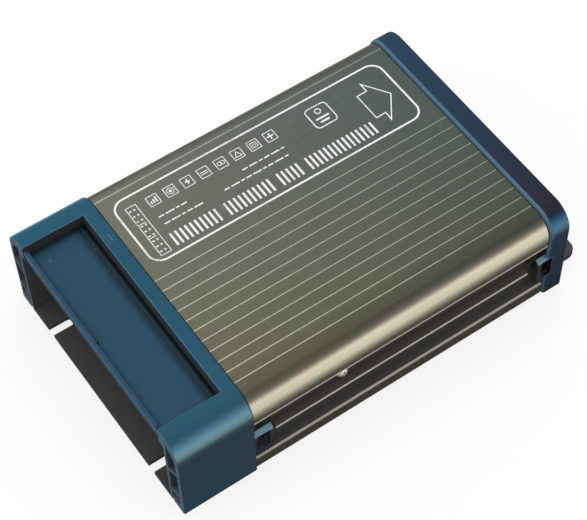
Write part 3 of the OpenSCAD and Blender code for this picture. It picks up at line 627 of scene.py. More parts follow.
@dataclass(frozen=True)
class AnodisedAluminium:
    """Satin anodised extrusion with fine die lines along X, faint clouds and pale specks."""

    name: str
    colour: Colour
    dark: Colour
    # Drifts that paint light and shade into the colour.
    drifts: tuple[Drift, ...] = ()
    speck: Colour = (0.42, 0.42, 0.36)
    metal: float = 0.85
    gloss_low: float = 0.34
    gloss_high: float = 0.44
    sheen: float = 0.5
    line_depth: float = 0.00001

    def make(self) -> Material:
        """Builds the finish."""
        graph = Graph(self.name)
        fine = graph.noise(graph.stretch((3.0, 2600.0, 2600.0)), 1.0, 3.0, 0.6)
        broad = graph.noise(graph.stretch((2.0, 420.0, 420.0)), 1.0, 2.0, 0.5)
        clouds = graph.noise(graph.place, 22.0, 4.0, 0.55)
        streaks = graph.levels(graph.both(fine, broad, "ADD"), 0.75, 1.3)
        shade = graph.levels(graph.both(streaks, clouds, "ADD"), 0.5, 1.6)
        body = graph.drift(graph.tint(shade, self.dark, self.colour), self.drifts)
        dust = graph.levels(graph.cells(graph.place, 420.0), 0.0, 0.11, 1.0, 0.0)
        rare = graph.levels(graph.noise(graph.place, 65.0, 1.0), 0.5, 0.58, 0.0, 0.9)
        rough = graph.levels(graph.both(broad, clouds, "ADD"), 0.6, 1.4, self.gloss_low, self.gloss_high)
        return graph.dress(graph.tint(graph.both(dust, rare), body, self.speck), rough,
                           graph.relief(streaks, self.line_depth, 0.5), Metallic=self.metal,
                           Specular_IOR_Level=self.sheen)


@dataclass(frozen=True)
class MouldedPlastic:
    """Moulded plastic with an eroded texture, faint flow marks and light scuffs."""

    name: str
    colour: Colour
    dark: Colour
    scuff: Colour = (0.22, 0.3, 0.36)
    gloss_low: float = 0.42
    gloss_high: float = 0.58
    grain_scale: float = 1900.0
    grain_depth: float = 0.00003
    scuffs: float = 0.5
    # Drifts that paint light and shade into the colour.
    drifts: tuple[Drift, ...] = ()
    sheen: float = 0.5

    def make(self) -> Material:
        """Builds the finish."""
        graph = Graph(self.name)
        flow = graph.noise(graph.stretch((12.0, 5.0, 18.0)), 2.0, 4.0, 0.6, 0.6)
        grain = graph.noise(graph.place, self.grain_scale, 2.0, 0.55)
        body = graph.drift(graph.tint(graph.levels(flow, 0.3, 0.7), self.dark, self.colour), self.drifts)
        strokes = graph.noise(graph.stretch((900.0, 140.0, 500.0), (0.4, 0.2, 0.7)), 1.0, 3.0)
        pale_lines = graph.levels(strokes, 0.64, 0.74)
        patches = graph.levels(graph.noise(graph.place, 34.0, 2.0), 0.54, 0.66, 0.0, self.scuffs)
        rough = graph.levels(graph.both(flow, grain, "ADD"), 0.6, 1.4, self.gloss_low, self.gloss_high)
        return graph.dress(graph.tint(graph.both(pale_lines, patches), body, self.scuff), rough,
                           graph.relief(grain, self.grain_depth, 0.6), IOR=1.47,
                           Specular_IOR_Level=self.sheen)


@dataclass(frozen=True)
class CoatedSteel:
    """Powder coated sheet with orange peel, dust and fine rubs."""

    name: str
    colour: Colour
    rub: Colour
    gloss: float = 0.6
    sheen: float = 0.15

    def make(self) -> Material:
        """Builds the finish."""
        graph = Graph(self.name)
        peel = graph.noise(graph.place, 1300.0, 3.0, 0.5)
        clouds = graph.noise(graph.place, 40.0, 4.0, 0.6)
        strokes = graph.noise(graph.stretch((60.0, 900.0, 60.0), (0.0, 0.0, 0.5)), 1.0, 3.0)
        worn = graph.both(graph.levels(strokes, 0.66, 0.78), graph.levels(clouds, 0.45, 0.7, 0.0, 0.5))
        return graph.dress(graph.tint(worn, self.colour, self.rub),
                           graph.levels(clouds, 0.3, 0.7, self.gloss - 0.08, self.gloss + 0.1),
                           graph.relief(peel, 0.00003, 0.5), IOR=1.5, Specular_IOR_Level=self.sheen)


@dataclass(frozen=True)
class PlatedSteel:
    """Zinc or nickel plated metal with fine turning marks and a cloudy gloss."""

    name: str
    colour: Colour
    dark: Colour
    gloss: float = 0.3
    metal: float = 1.0

    def make(self) -> Material:
        """Builds the finish."""
        graph = Graph(self.name)
        clouds = graph.noise(graph.place, 900.0, 3.0, 0.6)
        marks = graph.noise(graph.stretch((3000.0, 3000.0, 600.0)), 1.0, 2.0)
        return graph.dress(graph.tint(graph.levels(clouds, 0.3, 0.7), self.dark, self.colour),
                           graph.levels(marks, 0.3, 0.7, self.gloss - 0.08, self.gloss + 0.12),
                           graph.relief(marks, 0.00001, 0.4), Metallic=self.metal)


@dataclass(frozen=True)
class SilkInk:
    """Screen printed ink, a little thin in places."""

    name: str
    colour: Colour
    thin: Colour

    def make(self) -> Material:
        """Builds the finish."""
        graph = Graph(self.name)
        cover = graph.noise(graph.place, 1400.0, 3.0, 0.65)
        patch = graph.noise(graph.place, 160.0, 2.0)
        worn = graph.levels(graph.both(cover, patch, "ADD"), 1.05, 1.3)
        return graph.dress(graph.tint(worn, self.colour, self.thin),
                           graph.levels(cover, 0.3, 0.7, 0.45, 0.62))


@dataclass(frozen=True)
class SoftRubber:
    """Dull black rubber or a soft pad."""

    name: str
    colour: Colour
    dusty: Colour

    def make(self) -> Material:
        """Builds the finish."""
        graph = Graph(self.name)
        dust = graph.noise(graph.place, 500.0, 4.0, 0.7)
        return graph.dress(graph.tint(graph.levels(dust, 0.45, 0.8), self.colour, self.dusty),
                           graph.levels(dust, 0.3, 0.7, 0.7, 0.9), graph.relief(dust, 0.00004, 0.5))


@dataclass(frozen=True)
class BoardLaminate:
    """Solder mask over copper tracks, with the tracks as slightly raised paler lines."""

    name: str
    mask: Colour
    over_copper: Colour

    def make(self) -> Material:
        """Builds the finish."""
        graph = Graph(self.name)
        islands = graph.cells(graph.stretch((90.0, 150.0, 40.0)), 1.0, "DISTANCE_TO_EDGE")
        tracks = graph.levels(islands, 0.05, 0.07)
        weave = graph.noise(graph.stretch((1500.0, 1500.0, 300.0)), 1.0, 2.0)
        return graph.dress(graph.tint(tracks, self.mask, self.over_copper),
                           graph.levels(weave, 0.3, 0.7, 0.25, 0.4),
                           graph.relief(tracks, 0.00004, 0.8, graph.relief(weave, 0.00001, 0.4)),
                           Coat_Weight=0.3, Coat_Roughness=0.2)


@dataclass(frozen=True)
class ClearGlass:
    """Clear or tinted glass and clear plastic."""

    name: str
    colour: Colour
    passes: float = 0.9

    def make(self) -> Material:
        """Builds the finish."""
        graph = Graph(self.name)
        smear = graph.noise(graph.place, 700.0, 2.0)
        smeared = tuple(0.9 * part for part in self.colour)
        return graph.dress(graph.tint(graph.levels(smear, 0.3, 0.8), self.colour, smeared),
                           graph.levels(smear, 0.3, 0.7, 0.03, 0.12), Transmission_Weight=self.passes,
                           IOR=1.46)


@dataclass(frozen=True)
class EnamelWire:
    """Enamelled copper wire, darker where the enamel is thick."""

    name: str
    colour: Colour
    dark: Colour

    def make(self) -> Material:
        """Builds the finish."""
        graph = Graph(self.name)
        enamel = graph.noise(graph.place, 600.0, 3.0, 0.6)
        return graph.dress(graph.tint(graph.levels(enamel, 0.3, 0.7), self.dark, self.colour),
                           graph.levels(enamel, 0.3, 0.7, 0.18, 0.3), Metallic=0.7, Coat_Weight=0.6,
                           Coat_Roughness=0.1)


@dataclass(frozen=True)
class CeramicBody:
    """Sintered or dipped body with a fine grain, such as a ferrite or a disc capacitor."""

    name: str
    colour: Colour
    dark: Colour
    gloss: float = 0.5

    def make(self) -> Material:
        """Builds the finish."""
        graph = Graph(self.name)
        grain = graph.noise(graph.place, 1500.0, 4.0, 0.7)
        clouds = graph.noise(graph.place, 120.0, 3.0, 0.6)
        shade = graph.levels(graph.both(grain, clouds, "ADD"), 0.7, 1.3)
        return graph.dress(graph.tint(shade, self.dark, self.colour),
                           graph.levels(clouds, 0.3, 0.7, self.gloss - 0.1, self.gloss + 0.1),
                           graph.relief(grain, 0.00003, 0.5))


# Painted shade: the crown darkens towards its upper end, as its reflection does.
PAINTED_CROWN_SHADE_ALONG = Drift(0, ((-66.0, (1.0, 1.0, 1.0)), (-10.0, (0.8, 0.86, 0.9)), (75.0, (0.5, 0.62, 0.72))))
# Painted shade: the crown darkens and warms towards its -Y edge, as its reflection does.
PAINTED_CROWN_SHADE_ACROSS = Drift(1, ((-61.5, (0.64, 0.58, 0.46)), (-51.0, (0.64, 0.58, 0.46)), (-44.0, (0.8, 0.74, 0.6)),
                         (-2.0, (0.86, 0.85, 0.78)), (50.0, (0.93, 0.93, 0.93)), (61.5, (1.0, 1.0, 1.0))))
# Painted highlight and shade: a pale cream band on both rounds, about 38 to 45 mm high, and dark brown on the
# flat sides below.
PAINTED_CROWN_SIDE_LIGHT_AND_SHADE = Drift(2, ((34.2, (0.1, 0.08, 0.05, 1.0)), (36.6, (0.11, 0.103, 0.065, 1.0)),
                        (37.8, (0.28, 0.26, 0.18, 1.0)), (39.6, (0.345, 0.325, 0.225, 1.0)),
                        (41.2, (0.4, 0.355, 0.25, 1.0)), (42.8, (0.31, 0.262, 0.188, 1.0)),
                        (44.1, (0.35, 0.293, 0.21, 1.0)), (45.3, (0.24, 0.2, 0.145, 1.0)),
                        (46.1, (0.18, 0.16, 0.12, 0.8)), (46.9, (0.18, 0.16, 0.12, 0.0))), own=True)
# Painted shade on the edge highlight: dimmest at the flange's bevel, brightening up to 21 mm high.
PAINTED_EDGE_LINE_SHADE_UP = Drift(2, ((6.2, (0.8, 0.8, 0.8)), (6.9, (0.5, 0.5, 0.5)), (8.0, (0.5, 0.5, 0.5)),
                     (21.0, (0.95, 0.95, 0.95)), (26.0, (1.0, 1.0, 1.0)), (34.5, (1.0, 1.0, 1.0))))
# Painted shade on the channel ledges at 7.4 and 22 mm, and painted light on the upper channel's wall above 23
# mm.
PAINTED_CHANNEL_LIGHT_AND_SHADE_UP = Drift(2, ((7.4, (0.76, 0.76, 0.76)), (8.4, (0.95, 0.95, 0.95)), (21.0, (1.0, 1.0, 1.0)),
                       (22.0, (0.76, 0.74, 0.72)), (23.0, (1.5, 1.35, 1.2)), (33.2, (1.5, 1.35, 1.2))))
# Painted shade: the groove highlight darkens towards the upper end.
PAINTED_GROOVE_SHADE_ALONG = Drift(0, ((-66.0, (1.0, 1.0, 1.0)), (75.0, (0.62, 0.66, 0.6))))
# Painted shade: the blue cap is darker away from its +Y edge.
PAINTED_CAP_SHADE_ACROSS = Drift(1, ((-62.5, (0.82, 0.9, 0.9)), (20.0, (0.76, 0.84, 0.84)), (45.0, (0.85, 0.9, 0.9)),
                       (60.0, (1.0, 1.0, 1.0))))
# Painted highlight: the blue brightens up to 17 times in red on both rounds, 40 to 47 mm high; below, the
# sides are retinted greyer, as their shade looks.
PAINTED_CAP_ROUND_LIGHT_AND_SHADE = Drift(2, ((0.0, (2.4, 1.05, 1.0)), (20.0, (1.6, 0.77, 0.7)), (37.0, (0.95, 0.5, 0.45)),
                      (38.5, (1.2, 0.7, 0.6)), (40.0, (3.2, 1.25, 1.0)), (41.6, (15.0, 3.8, 2.4)),
                      (43.2, (17.0, 4.7, 3.4)), (44.7, (10.0, 3.6, 2.9)), (46.0, (4.5, 2.0, 1.85)),
                      (47.1, (1.2, 1.1, 1.1)), (47.7, (1.0, 1.0, 1.0))))
# Painted shade: the cover darkens just behind its lip, towards its hinge and along both recess walls.
PAINTED_COVER_SHADE_ALONG = Drift(0, ((-99.7, (1.0, 1.0, 1.0)), (-99.4, (0.35, 0.35, 0.35)), (-97.0, (1.0, 1.0, 1.0)),
                        (-80.0, (1.0, 1.0, 1.0)), (-77.2, (0.4, 0.4, 0.4)), (-75.0, (0.3, 0.3, 0.3))))
PAINTED_COVER_SHADE_ACROSS = Drift(1, ((-49.3, (0.3, 0.3, 0.3)), (-46.3, (1.0, 1.0, 1.0)), (45.8, (1.0, 1.0, 1.0)),
                         (49.3, (0.25, 0.25, 0.25))))
# Painted highlight and shade: pale teal on the upper cap's -Y round, and its top darker towards -Y.
PAINTED_END_CAP_LIGHT_AND_SHADE = Drift(1, ((-62.5, (1.2, 0.64, 0.74)), (-62.45, (1.4, 0.9, 0.9)), (-62.34, (3.4, 3.0, 1.9)),
                       (-61.87, (7.2, 4.4, 3.0)), (-61.1, (6.8, 5.0, 4.0)), (-60.0, (2.4, 3.0, 2.8)),
                       (-58.75, (1.0, 1.0, 1.2)), (-57.25, (1.3, 0.42, 0.36)), (-54.5, (1.4, 0.38, 0.36)),
                       (10.0, (1.2, 0.8, 0.86)), (52.0, (1.3, 0.97, 1.0))))


@dataclass(frozen=True)
class FinishBook:
    """Every finish of the power supply, made once each."""

    # Bronze anodised colour, with the painted shade and highlight of the crown drifts.
    bronze: AnodisedAluminium = AnodisedAluminium(
        "bronze_anodised", (0.21, 0.218, 0.18), (0.178, 0.183, 0.15),
        (PAINTED_CROWN_SHADE_ALONG, PAINTED_CROWN_SHADE_ACROSS, PAINTED_CROWN_SIDE_LIGHT_AND_SHADE))
    # Painted highlight: the walls of the fine grooves in near white, where light catches them.
    groove: AnodisedAluminium = AnodisedAluminium(
        "groove_painted_highlight", (0.8, 0.81, 0.72), (0.72, 0.73, 0.64), (PAINTED_GROOVE_SHADE_ALONG,), metal=0.15, gloss_low=0.5,
        gloss_high=0.6)
    # Painted shade: the channel walls are a dark copy of the anodised finish, for the shade inside them.
    channel: AnodisedAluminium = AnodisedAluminium(
        "channel_painted_shade", (0.125, 0.122, 0.117), (0.11, 0.107, 0.103), (PAINTED_CHANNEL_LIGHT_AND_SHADE_UP,), metal=0.0,
        gloss_low=0.6, gloss_high=0.7, sheen=0.0)
    # Painted highlight: pale cream on the outer edge bands of the lip, the fin and the flange, where light
    # catches them.
    pale_lines: AnodisedAluminium = AnodisedAluminium(
        "edge_lines_painted_highlight", (0.93, 0.86, 0.71), (0.86, 0.79, 0.65), (PAINTED_EDGE_LINE_SHADE_UP,), metal=0.1, gloss_low=0.5,
        gloss_high=0.6, sheen=0.3)
    # Blue cap plastic, with the painted shade and highlight of its drifts.
    blue: MouldedPlastic = MouldedPlastic(
        "blue_cap_plastic", (0.015, 0.094, 0.157), (0.013, 0.085, 0.144), drifts=(PAINTED_CAP_SHADE_ACROSS, PAINTED_CAP_ROUND_LIGHT_AND_SHADE),
        sheen=0.22, scuffs=0.9)
    # Blue cover plastic, with the painted shade of its drifts.
    cover: MouldedPlastic = MouldedPlastic(
        "blue_cover_plastic", (0.011, 0.064, 0.115), (0.01, 0.056, 0.104), drifts=(PAINTED_COVER_SHADE_ALONG, PAINTED_COVER_SHADE_ACROSS),
        sheen=0.3)
    # Painted shade: the upper end cap is a darker copy of the blue plastic, with its drift's painted
    # highlight.
    shaded_end_blue: MouldedPlastic = MouldedPlastic(
        "end_cap_painted_light_and_shade", (0.015, 0.053, 0.096), (0.013, 0.046, 0.086), drifts=(PAINTED_END_CAP_LIGHT_AND_SHADE,), sheen=0.12)
    # Painted highlight: lighter blue for the recess rim, the upper cap's joint bevel, the terminal cap's open
    # end and the cover's lip.
    rim: MouldedPlastic = MouldedPlastic(
        "blue_edges_painted_highlight", (0.08, 0.168, 0.245), (0.066, 0.148, 0.222), scuffs=0.3, sheen=0.2)
    # Painted highlight: much lighter blue on the slopes at the top of the latch tabs.
    slope: MouldedPlastic = MouldedPlastic(
        "slopes_painted_highlight", (0.2, 0.37, 0.48), (0.17, 0.33, 0.43), scuffs=0.2, sheen=0.2)
    # Painted shade: flat grey for the bay's inside and the caps' hollows, which lie in shade.
    shade: MouldedPlastic = MouldedPlastic(
        "hollows_painted_shade", (0.125, 0.125, 0.13), (0.105, 0.105, 0.11), scuffs=0.0, sheen=0.1)
    # Painted shade: near black for the latch tabs, their catches and the walls of the cover's recess.
    dusk: MouldedPlastic = MouldedPlastic(
        "latch_and_recess_painted_shade", (0.054, 0.059, 0.066), (0.044, 0.048, 0.055), scuffs=0.2, sheen=0.05)
    black_plate: CoatedSteel = CoatedSteel("black_plate_coat", (0.07, 0.07, 0.07), (0.1, 0.1, 0.1))
    ink: SilkInk = SilkInk("white_print", (0.86, 0.88, 0.86), (0.5, 0.52, 0.48))
    seal: SoftRubber = SoftRubber("seal_rubber", (0.012, 0.012, 0.012), (0.04, 0.04, 0.04))
    pad: SoftRubber = SoftRubber("heat_pad", (0.45, 0.45, 0.44), (0.6, 0.6, 0.58))
    film: SilkInk = SilkInk("insulating_film", (0.8, 0.8, 0.76), (0.7, 0.7, 0.66))
    screw: PlatedSteel = PlatedSteel("zinc_screw", (0.9, 0.85, 0.72), (0.74, 0.69, 0.58), metal=0.35)
    nickel: PlatedSteel = PlatedSteel("nickel_terminal", (0.74, 0.73, 0.7), (0.55, 0.54, 0.52), 0.24)
    brass: PlatedSteel = PlatedSteel("brass_contact", (0.78, 0.62, 0.32), (0.6, 0.45, 0.2), 0.26)
    bar: PlatedSteel = PlatedSteel("clamp_bar_aluminium", (0.7, 0.7, 0.7), (0.55, 0.55, 0.56), 0.4)
    board: BoardLaminate = BoardLaminate("board_laminate", (0.012, 0.11, 0.045), (0.03, 0.2, 0.08))
    black_block: MouldedPlastic = MouldedPlastic(
        "black_block_plastic", (0.03, 0.03, 0.032), (0.018, 0.018, 0.02), (0.12, 0.12, 0.12), 0.38, 0.52,
        scuffs=0.3)
    device: MouldedPlastic = MouldedPlastic(
        "device_case", (0.028, 0.028, 0.028), (0.018, 0.018, 0.018), (0.1, 0.1, 0.1), 0.45, 0.6, scuffs=0.2)
    trimmer: MouldedPlastic = MouldedPlastic(
        "trimmer_blue", (0.02, 0.1, 0.42), (0.015, 0.07, 0.32), (0.2, 0.3, 0.5), 0.25, 0.35)
    rotor: MouldedPlastic = MouldedPlastic(
        "rotor_white", (0.78, 0.78, 0.74), (0.66, 0.66, 0.62), (0.5, 0.5, 0.46), 0.35, 0.5)
    film_cap: MouldedPlastic = MouldedPlastic(
        "film_capacitor", (0.72, 0.42, 0.03), (0.6, 0.33, 0.02), (0.8, 0.6, 0.3), 0.25, 0.4)
    can_black: MouldedPlastic = MouldedPlastic(
        "sleeve_black", (0.02, 0.024, 0.045), (0.012, 0.014, 0.03), (0.1, 0.1, 0.12), 0.2, 0.32)
    can_brown: MouldedPlastic = MouldedPlastic(
        "sleeve_brown", (0.06, 0.022, 0.016), (0.035, 0.014, 0.01), (0.15, 0.1, 0.08), 0.2, 0.32)
    bobbin: MouldedPlastic = MouldedPlastic(
        "bobbin_brown", (0.09, 0.04, 0.02), (0.06, 0.025, 0.012), (0.2, 0.12, 0.08), 0.35, 0.5)
    tape: MouldedPlastic = MouldedPlastic(
        "winding_tape", (0.78, 0.55, 0.06), (0.62, 0.42, 0.04), (0.85, 0.7, 0.3), 0.25, 0.4)
    lamp: ClearGlass = ClearGlass("lamp_green", (0.15, 0.75, 0.25), 0.5)
    glass: ClearGlass = ClearGlass("fuse_glass", (0.9, 0.95, 0.94))
    wire: EnamelWire = EnamelWire("enamelled_wire", (0.7, 0.3, 0.1), (0.45, 0.16, 0.05))
    bare: EnamelWire = EnamelWire("bare_copper", (0.85, 0.5, 0.32), (0.7, 0.36, 0.2))
    ferrite: CeramicBody = CeramicBody("ferrite", (0.05, 0.05, 0.055), (0.03, 0.03, 0.034))
    thermistor: CeramicBody = CeramicBody("thermistor_green", (0.03, 0.075, 0.045), (0.02, 0.05, 0.03), 0.35)
    safety: CeramicBody = CeramicBody("safety_capacitor_blue", (0.05, 0.16, 0.45), (0.035, 0.11, 0.34), 0.3)
    ring_green: CeramicBody = CeramicBody("ring_green", (0.02, 0.14, 0.05), (0.014, 0.09, 0.03), 0.35)
    ring_yellow: CeramicBody = CeramicBody("ring_yellow", (0.72, 0.58, 0.09), (0.6, 0.46, 0.06), 0.4)
    resistor: CeramicBody = CeramicBody("resistor_tan", (0.5, 0.38, 0.2), (0.4, 0.29, 0.14), 0.4)
    made: dict = field(default_factory=dict)

    def get(self, name: str) -> Material:
        """Makes a finish the first time that it is asked for.

        Args:
            name: Name of the finish's field.

        Returns:
            The material.
        """
        if name not in self.made:
            self.made[name] = getattr(self, name).make()
        return self.made[name]


# Sub-assemblies


def span(side: int, inner: float, outer: float) -> Span:
    """Range across the unit between two distances from its middle."""
    return (side * inner, side * outer) if side > 0 else (side * outer, side * inner)


def arch(name: str, low_x: float, high_x: float, half: float, bottom: float, top: float,
         radius: float, steps: int = 14) -> Solid:
    """Bar along X with a flat bottom and rounded upper edges.

    Args:
        name: Name of the bar.
        low_x: Where it starts.
        high_x: Where it ends.
        half: Half its width.
        bottom: Height of its underside.
        top: Height of its top.
        radius: Radius of its upper edges.
        steps: Steps in each of them.

    Returns:
        The bar.
    """
    bar = block(name, (low_x, -half, bottom), (high_x, half, top))
    round_edges(bar, lambda edge: runs_along(edge, (1, 0, 0)) and middle(edge).z > top - NEAR,
                radius, steps)
    return bar


@dataclass(frozen=True)
class Places:
    """Places and sizes that the pieces share, read from the frame where it has them."""

    near: float = Extent.of("terminal_end_cap").low.x
    joint: float = Extent.of("terminal_end_seal").low.x
    body: float = Extent.of("housing_extrusion").low.x
    body_far: float = Extent.of("housing_extrusion").high.x
    upper_joint: float = Extent.of("upper_end_seal").high.x
    far: float = Extent.of("upper_end_cap").high.x
    ear: float = Extent.of("mounting_plate").high.x
    cap_half: float = Extent.of("terminal_end_cap").high.y
    cap_top: float = Extent.of("terminal_end_cap").high.z
    body_half: float = Extent.of("housing_extrusion").high.y
    body_top: float = Extent.of("housing_extrusion").high.z
    bay_depth: float = 27.9
    wall: float = 56.5
    channels: tuple[Span, ...] = ((7.4, 20.8), (22.0, 33.2))
    side_screws: tuple[tuple[float, int], ...] = ((-23.55, -1), (38.85, 1))
    side_screw_height: float = 27.0
    foot_inset: float = 14.0
    foot_half: float = 50.0
    hinge_in: float = 2.0
    tab_reach: float = 4.2
    near_tab: float = 9.0
    room_wall: float = 2.6
    room_round: float = 6.9
    room_shoulder: Span = (35.8, 37.0)
    room_half: float = 53.5
    room_floor: float = 5.15
    plate_room: Span = (55.15, 2.15)  # half width, top

    @property
    def bay(self) -> float:
        """Inner end of the terminal bay."""
        return self.near + self.bay_depth

    @property
    def foot_screws(self) -> list[Span]:
        """X and Y of the screws that hold the plate."""
        rows = (self.body + self.foot_inset, (self.body + self.body_far) / 2, self.body_far - self.foot_inset)
        return [(row, side * self.foot_half) for row in rows for side in (-1, 1)]

    def hollow(self, piece: Solid, low_x: float, high_x: float) -> None:
        """Clears the room inside the housing's walls out of a piece.

        Args:
            piece: The piece.
            low_x: Where the room starts.
            high_x: Where it ends.
        """
        low, high = self.room_shoulder
        meet(piece, arch("room", low_x, high_x, self.body_half - self.room_wall, low,
                         self.body_top - self.room_wall, self.room_round))
        meet(piece, block("room", (low_x, -self.room_half, self.room_floor), (high_x, self.room_half, high)))

    def clear_plate(self, piece: Solid, low_x: float, high_x: float) -> None:
        """Clears the room of the mounting plate out of a piece."""
        half, top = self.plate_room
        meet(piece, block("plate_room", (low_x, -half, -1.0), (high_x, half, top)))


@dataclass
class Housing:
    """Extruded body with cooling channels in its sides and fine grooves along its crown."""

    book: FinishBook
    at: Places
    corner: float = 9.5
    channel_round: float = 0.8
    groove_count: int = 11
    groove_first: float = 6.9
    groove_pitch: float = 5.6
    groove_far: float = 52.6
    groove_half: float = 0.2
    groove_depth: float = 0.4
    flange_bevel: float = 0.6
    flange_line: float = 0.5
    edge_round: float = 0.12
    lip_line: float = 0.85
    bottom_round: float = 0.4
    fin_cuts: Span = (9.6, 9.0)  # length at the near end, at the far end
    fin_room: Span = (20.0, 22.8)
    catch_places: Span = (5.5, 1.9)  # from the near joint, from the far tabs' tips
    catch_room: Point = (52.5, 14.2, 17.8)  # inner end, bottom, top
    catch_slack: Span = (0.3, 1.9)
    foot_gap: Span = (46.5, 7.0)  # half width, top
    board_slot: Point = (54.6, 8.1, 9.9)  # half width, bottom, top
    side_hole: float = 1.7
    foot_hole: float = 1.5

    def build(self) -> Solid:
        """Models the body and dresses it.

        Returns:
            The body.
        """
        at = self.at
        body = arch("housing", at.body, at.body_far, at.body_half, 0.0, at.body_top, self.corner, 16)
        self.open_channels(body)
        self.ease_edges(body)
        self.draw_grooves(body)
        at.hollow(body, at.body - 1, at.body_far + 1)
        half, top = self.foot_gap
        meet(body, block("foot_gap", (at.body - 1, -half, -1), (at.body_far + 1, half, top)))
        half, low, high = self.board_slot
        meet(body, block("board_slots", (at.body - 1, -half, low), (at.body_far + 1, half, high)))
        at.clear_plate(body, at.body - 1, at.body_far + 1)
        self.cut_back_fins(body)
        self.drill(body)
        finishes = [self.book.get(name) for name in ("bronze", "groove", "channel", "pale_lines")]
        # The groove walls and the edge bands take painted highlights, the channels painted shade.
        tell_apart(body, finishes, self.in_groove, self.in_channel, self.on_highlit_edge_line)
        soften(body, 0.0)
        return hand_over(body, finishes, "unit", "housing_extrusion")

    def open_channels(self, body: Solid) -> None:
        """Cuts the channels into both sides."""
        for low, high in self.at.channels:
            for side in (-1, 1):
                inner, outer = span(side, self.at.wall, self.at.body_half + 5)
                tool = block("channel", (self.at.body - 1, inner, low), (self.at.body_far + 1, outer, high))
                round_edges(tool, lambda edge: runs_along(edge, (1, 0, 0))
                            and abs(middle(edge).y) < self.at.wall + NEAR, self.channel_round, 3)
                meet(body, tool)

    def ease_edges(self, body: Solid) -> None:
        """Bevels the flange and takes the sharpness off the long outer edges."""
        def outer(edge: Edge, *heights: float) -> bool:
            """Whether an edge is a long outer one at one of the heights."""
            spot = middle(edge)
            return (runs_along(edge, (1, 0, 0)) and abs(abs(spot.y) - self.at.body_half) < NEAR
                    and any(abs(spot.z - height) < NEAR for height in heights))
        (flange, fin_low), (fin_high, lip) = self.at.channels
        round_edges(body, lambda edge: outer(edge, flange), self.flange_bevel, 1)
        round_edges(body, lambda edge: outer(edge, fin_low, fin_high, lip), self.edge_round, 1)
        round_edges(body, lambda edge: outer(edge, 0.0), self.bottom_round, 2)
        # Scores the bands that take the painted edge highlight.
        start_edit(body)
        for level in (flange - self.flange_bevel - self.flange_line, lip + self.edge_round + self.lip_line):
            score(lambda face: abs(face.normal.y) > 0.95
                  and abs(middle(face).y) > self.at.body_half - NEAR, (0, 0, level), (0, 0, 1))
        clear_selection()

    def draw_grooves(self, body: Solid) -> None:
        """Presses the fine grooves into the crown."""
        start_edit(body)
        places = [self.groove_first - self.groove_pitch * number for number in range(self.groove_count)]
        for place in (*places, self.groove_far):
            for off in (-self.groove_half, self.groove_half, 0.0):
                line = place + off
                score(lambda face: face.normal.z > 0.95 and middle(face).z > 46.0
                      and min(corner.co.y for corner in face.verts) < line
                      < max(corner.co.y for corner in face.verts), (0, line, 0), (0, 1, 0))
            pick(Element.VERTEX, lambda corner: abs(corner.co.y - place) < 0.001 and corner.co.z > 46.0)
            bpy.ops.transform.translate(value=(0, 0, -self.groove_depth))
        clear_selection()

    def cut_back_fins(self, body: Solid) -> None:
        """Cuts the middle fins back where the latch tabs lie, with the holes for the catches."""
        at = self.at
        for side in (-1, 1):
            inner, outer = span(side, at.wall, at.body_half + 1)
            near, far = self.fin_cuts
            for low, high in ((at.body - 1, at.body + near), (at.body_far - far, at.body_far + 1)):
                meet(body, block("fin_end", (low, inner, self.fin_room[0]), (high, outer, self.fin_room[1])))
            deep, bottom, top = self.catch_room
            before, after = self.catch_slack
            inner, outer = span(side, deep, at.wall + 1)
            near, far = self.catch_places
            for low in (at.joint + near, at.upper_joint - at.tab_reach + far):
                meet(body, block("catch_hole", (low - before, inner, bottom), (low + after, outer, top)))

    def drill(self, body: Solid) -> None:
        """Drills the holes of the side screws and of the feet."""
        for place, side in self.at.side_screws:
            middle_of_wall = (place, side * 55.0, self.at.side_screw_height)
            meet(body, drum("side_hole", middle_of_wall, self.side_hole, 8.0, Axis.Y, 32))
        for place, side_y in self.at.foot_screws:
            meet(body, drum("foot_hole", (place, side_y, 3.0), self.foot_hole, 8.0, Axis.Z, 24))

    def in_groove(self, face: Face) -> bool:
        """Whether a face of the crown is the wall of a groove."""
        spot = middle(face)
        steps = (self.groove_first - spot.y) / self.groove_pitch
        beside = abs(steps - round(steps)) * self.groove_pitch
        ribbed = beside < self.groove_half and -0.5 < steps < self.groove_count - 0.5
        inside = spot.z > 47.0 and (ribbed or abs(spot.y - self.groove_far) < self.groove_half)
        return inside and 0.3 < face.normal.z < 0.9 and abs(face.normal.x) < 0.1

    def in_channel(self, face: Face) -> bool:
        """Whether a face is the wall of a cooling channel."""
        spot = middle(face)
        return (self.at.wall - NEAR < abs(spot.y) < self.at.body_half - 0.35 and abs(face.normal.x) < 0.5
                and any(low - NEAR < spot.z < high + NEAR for low, high in self.at.channels))

    def on_highlit_edge_line(self, face: Face) -> bool:
        """Whether a face is an outer edge band of the lip, the fin or the flange, which takes the painted
        highlight.
        """
        spot = middle(face)
        (flange, fin_low), (fin_top, lip) = self.at.channels
        bands = ((flange - self.flange_bevel - self.flange_line, flange),
                 (fin_low + self.edge_round, fin_top),
                 (lip + self.edge_round, lip + self.edge_round + self.lip_line))
        return (abs(spot.y) > self.at.body_half - self.flange_bevel - NEAR and abs(face.normal.x) < 0.5
                and abs(face.normal.y) > 0.1
                and any(low + NEAR < spot.z < high - NEAR for low, high in bands))


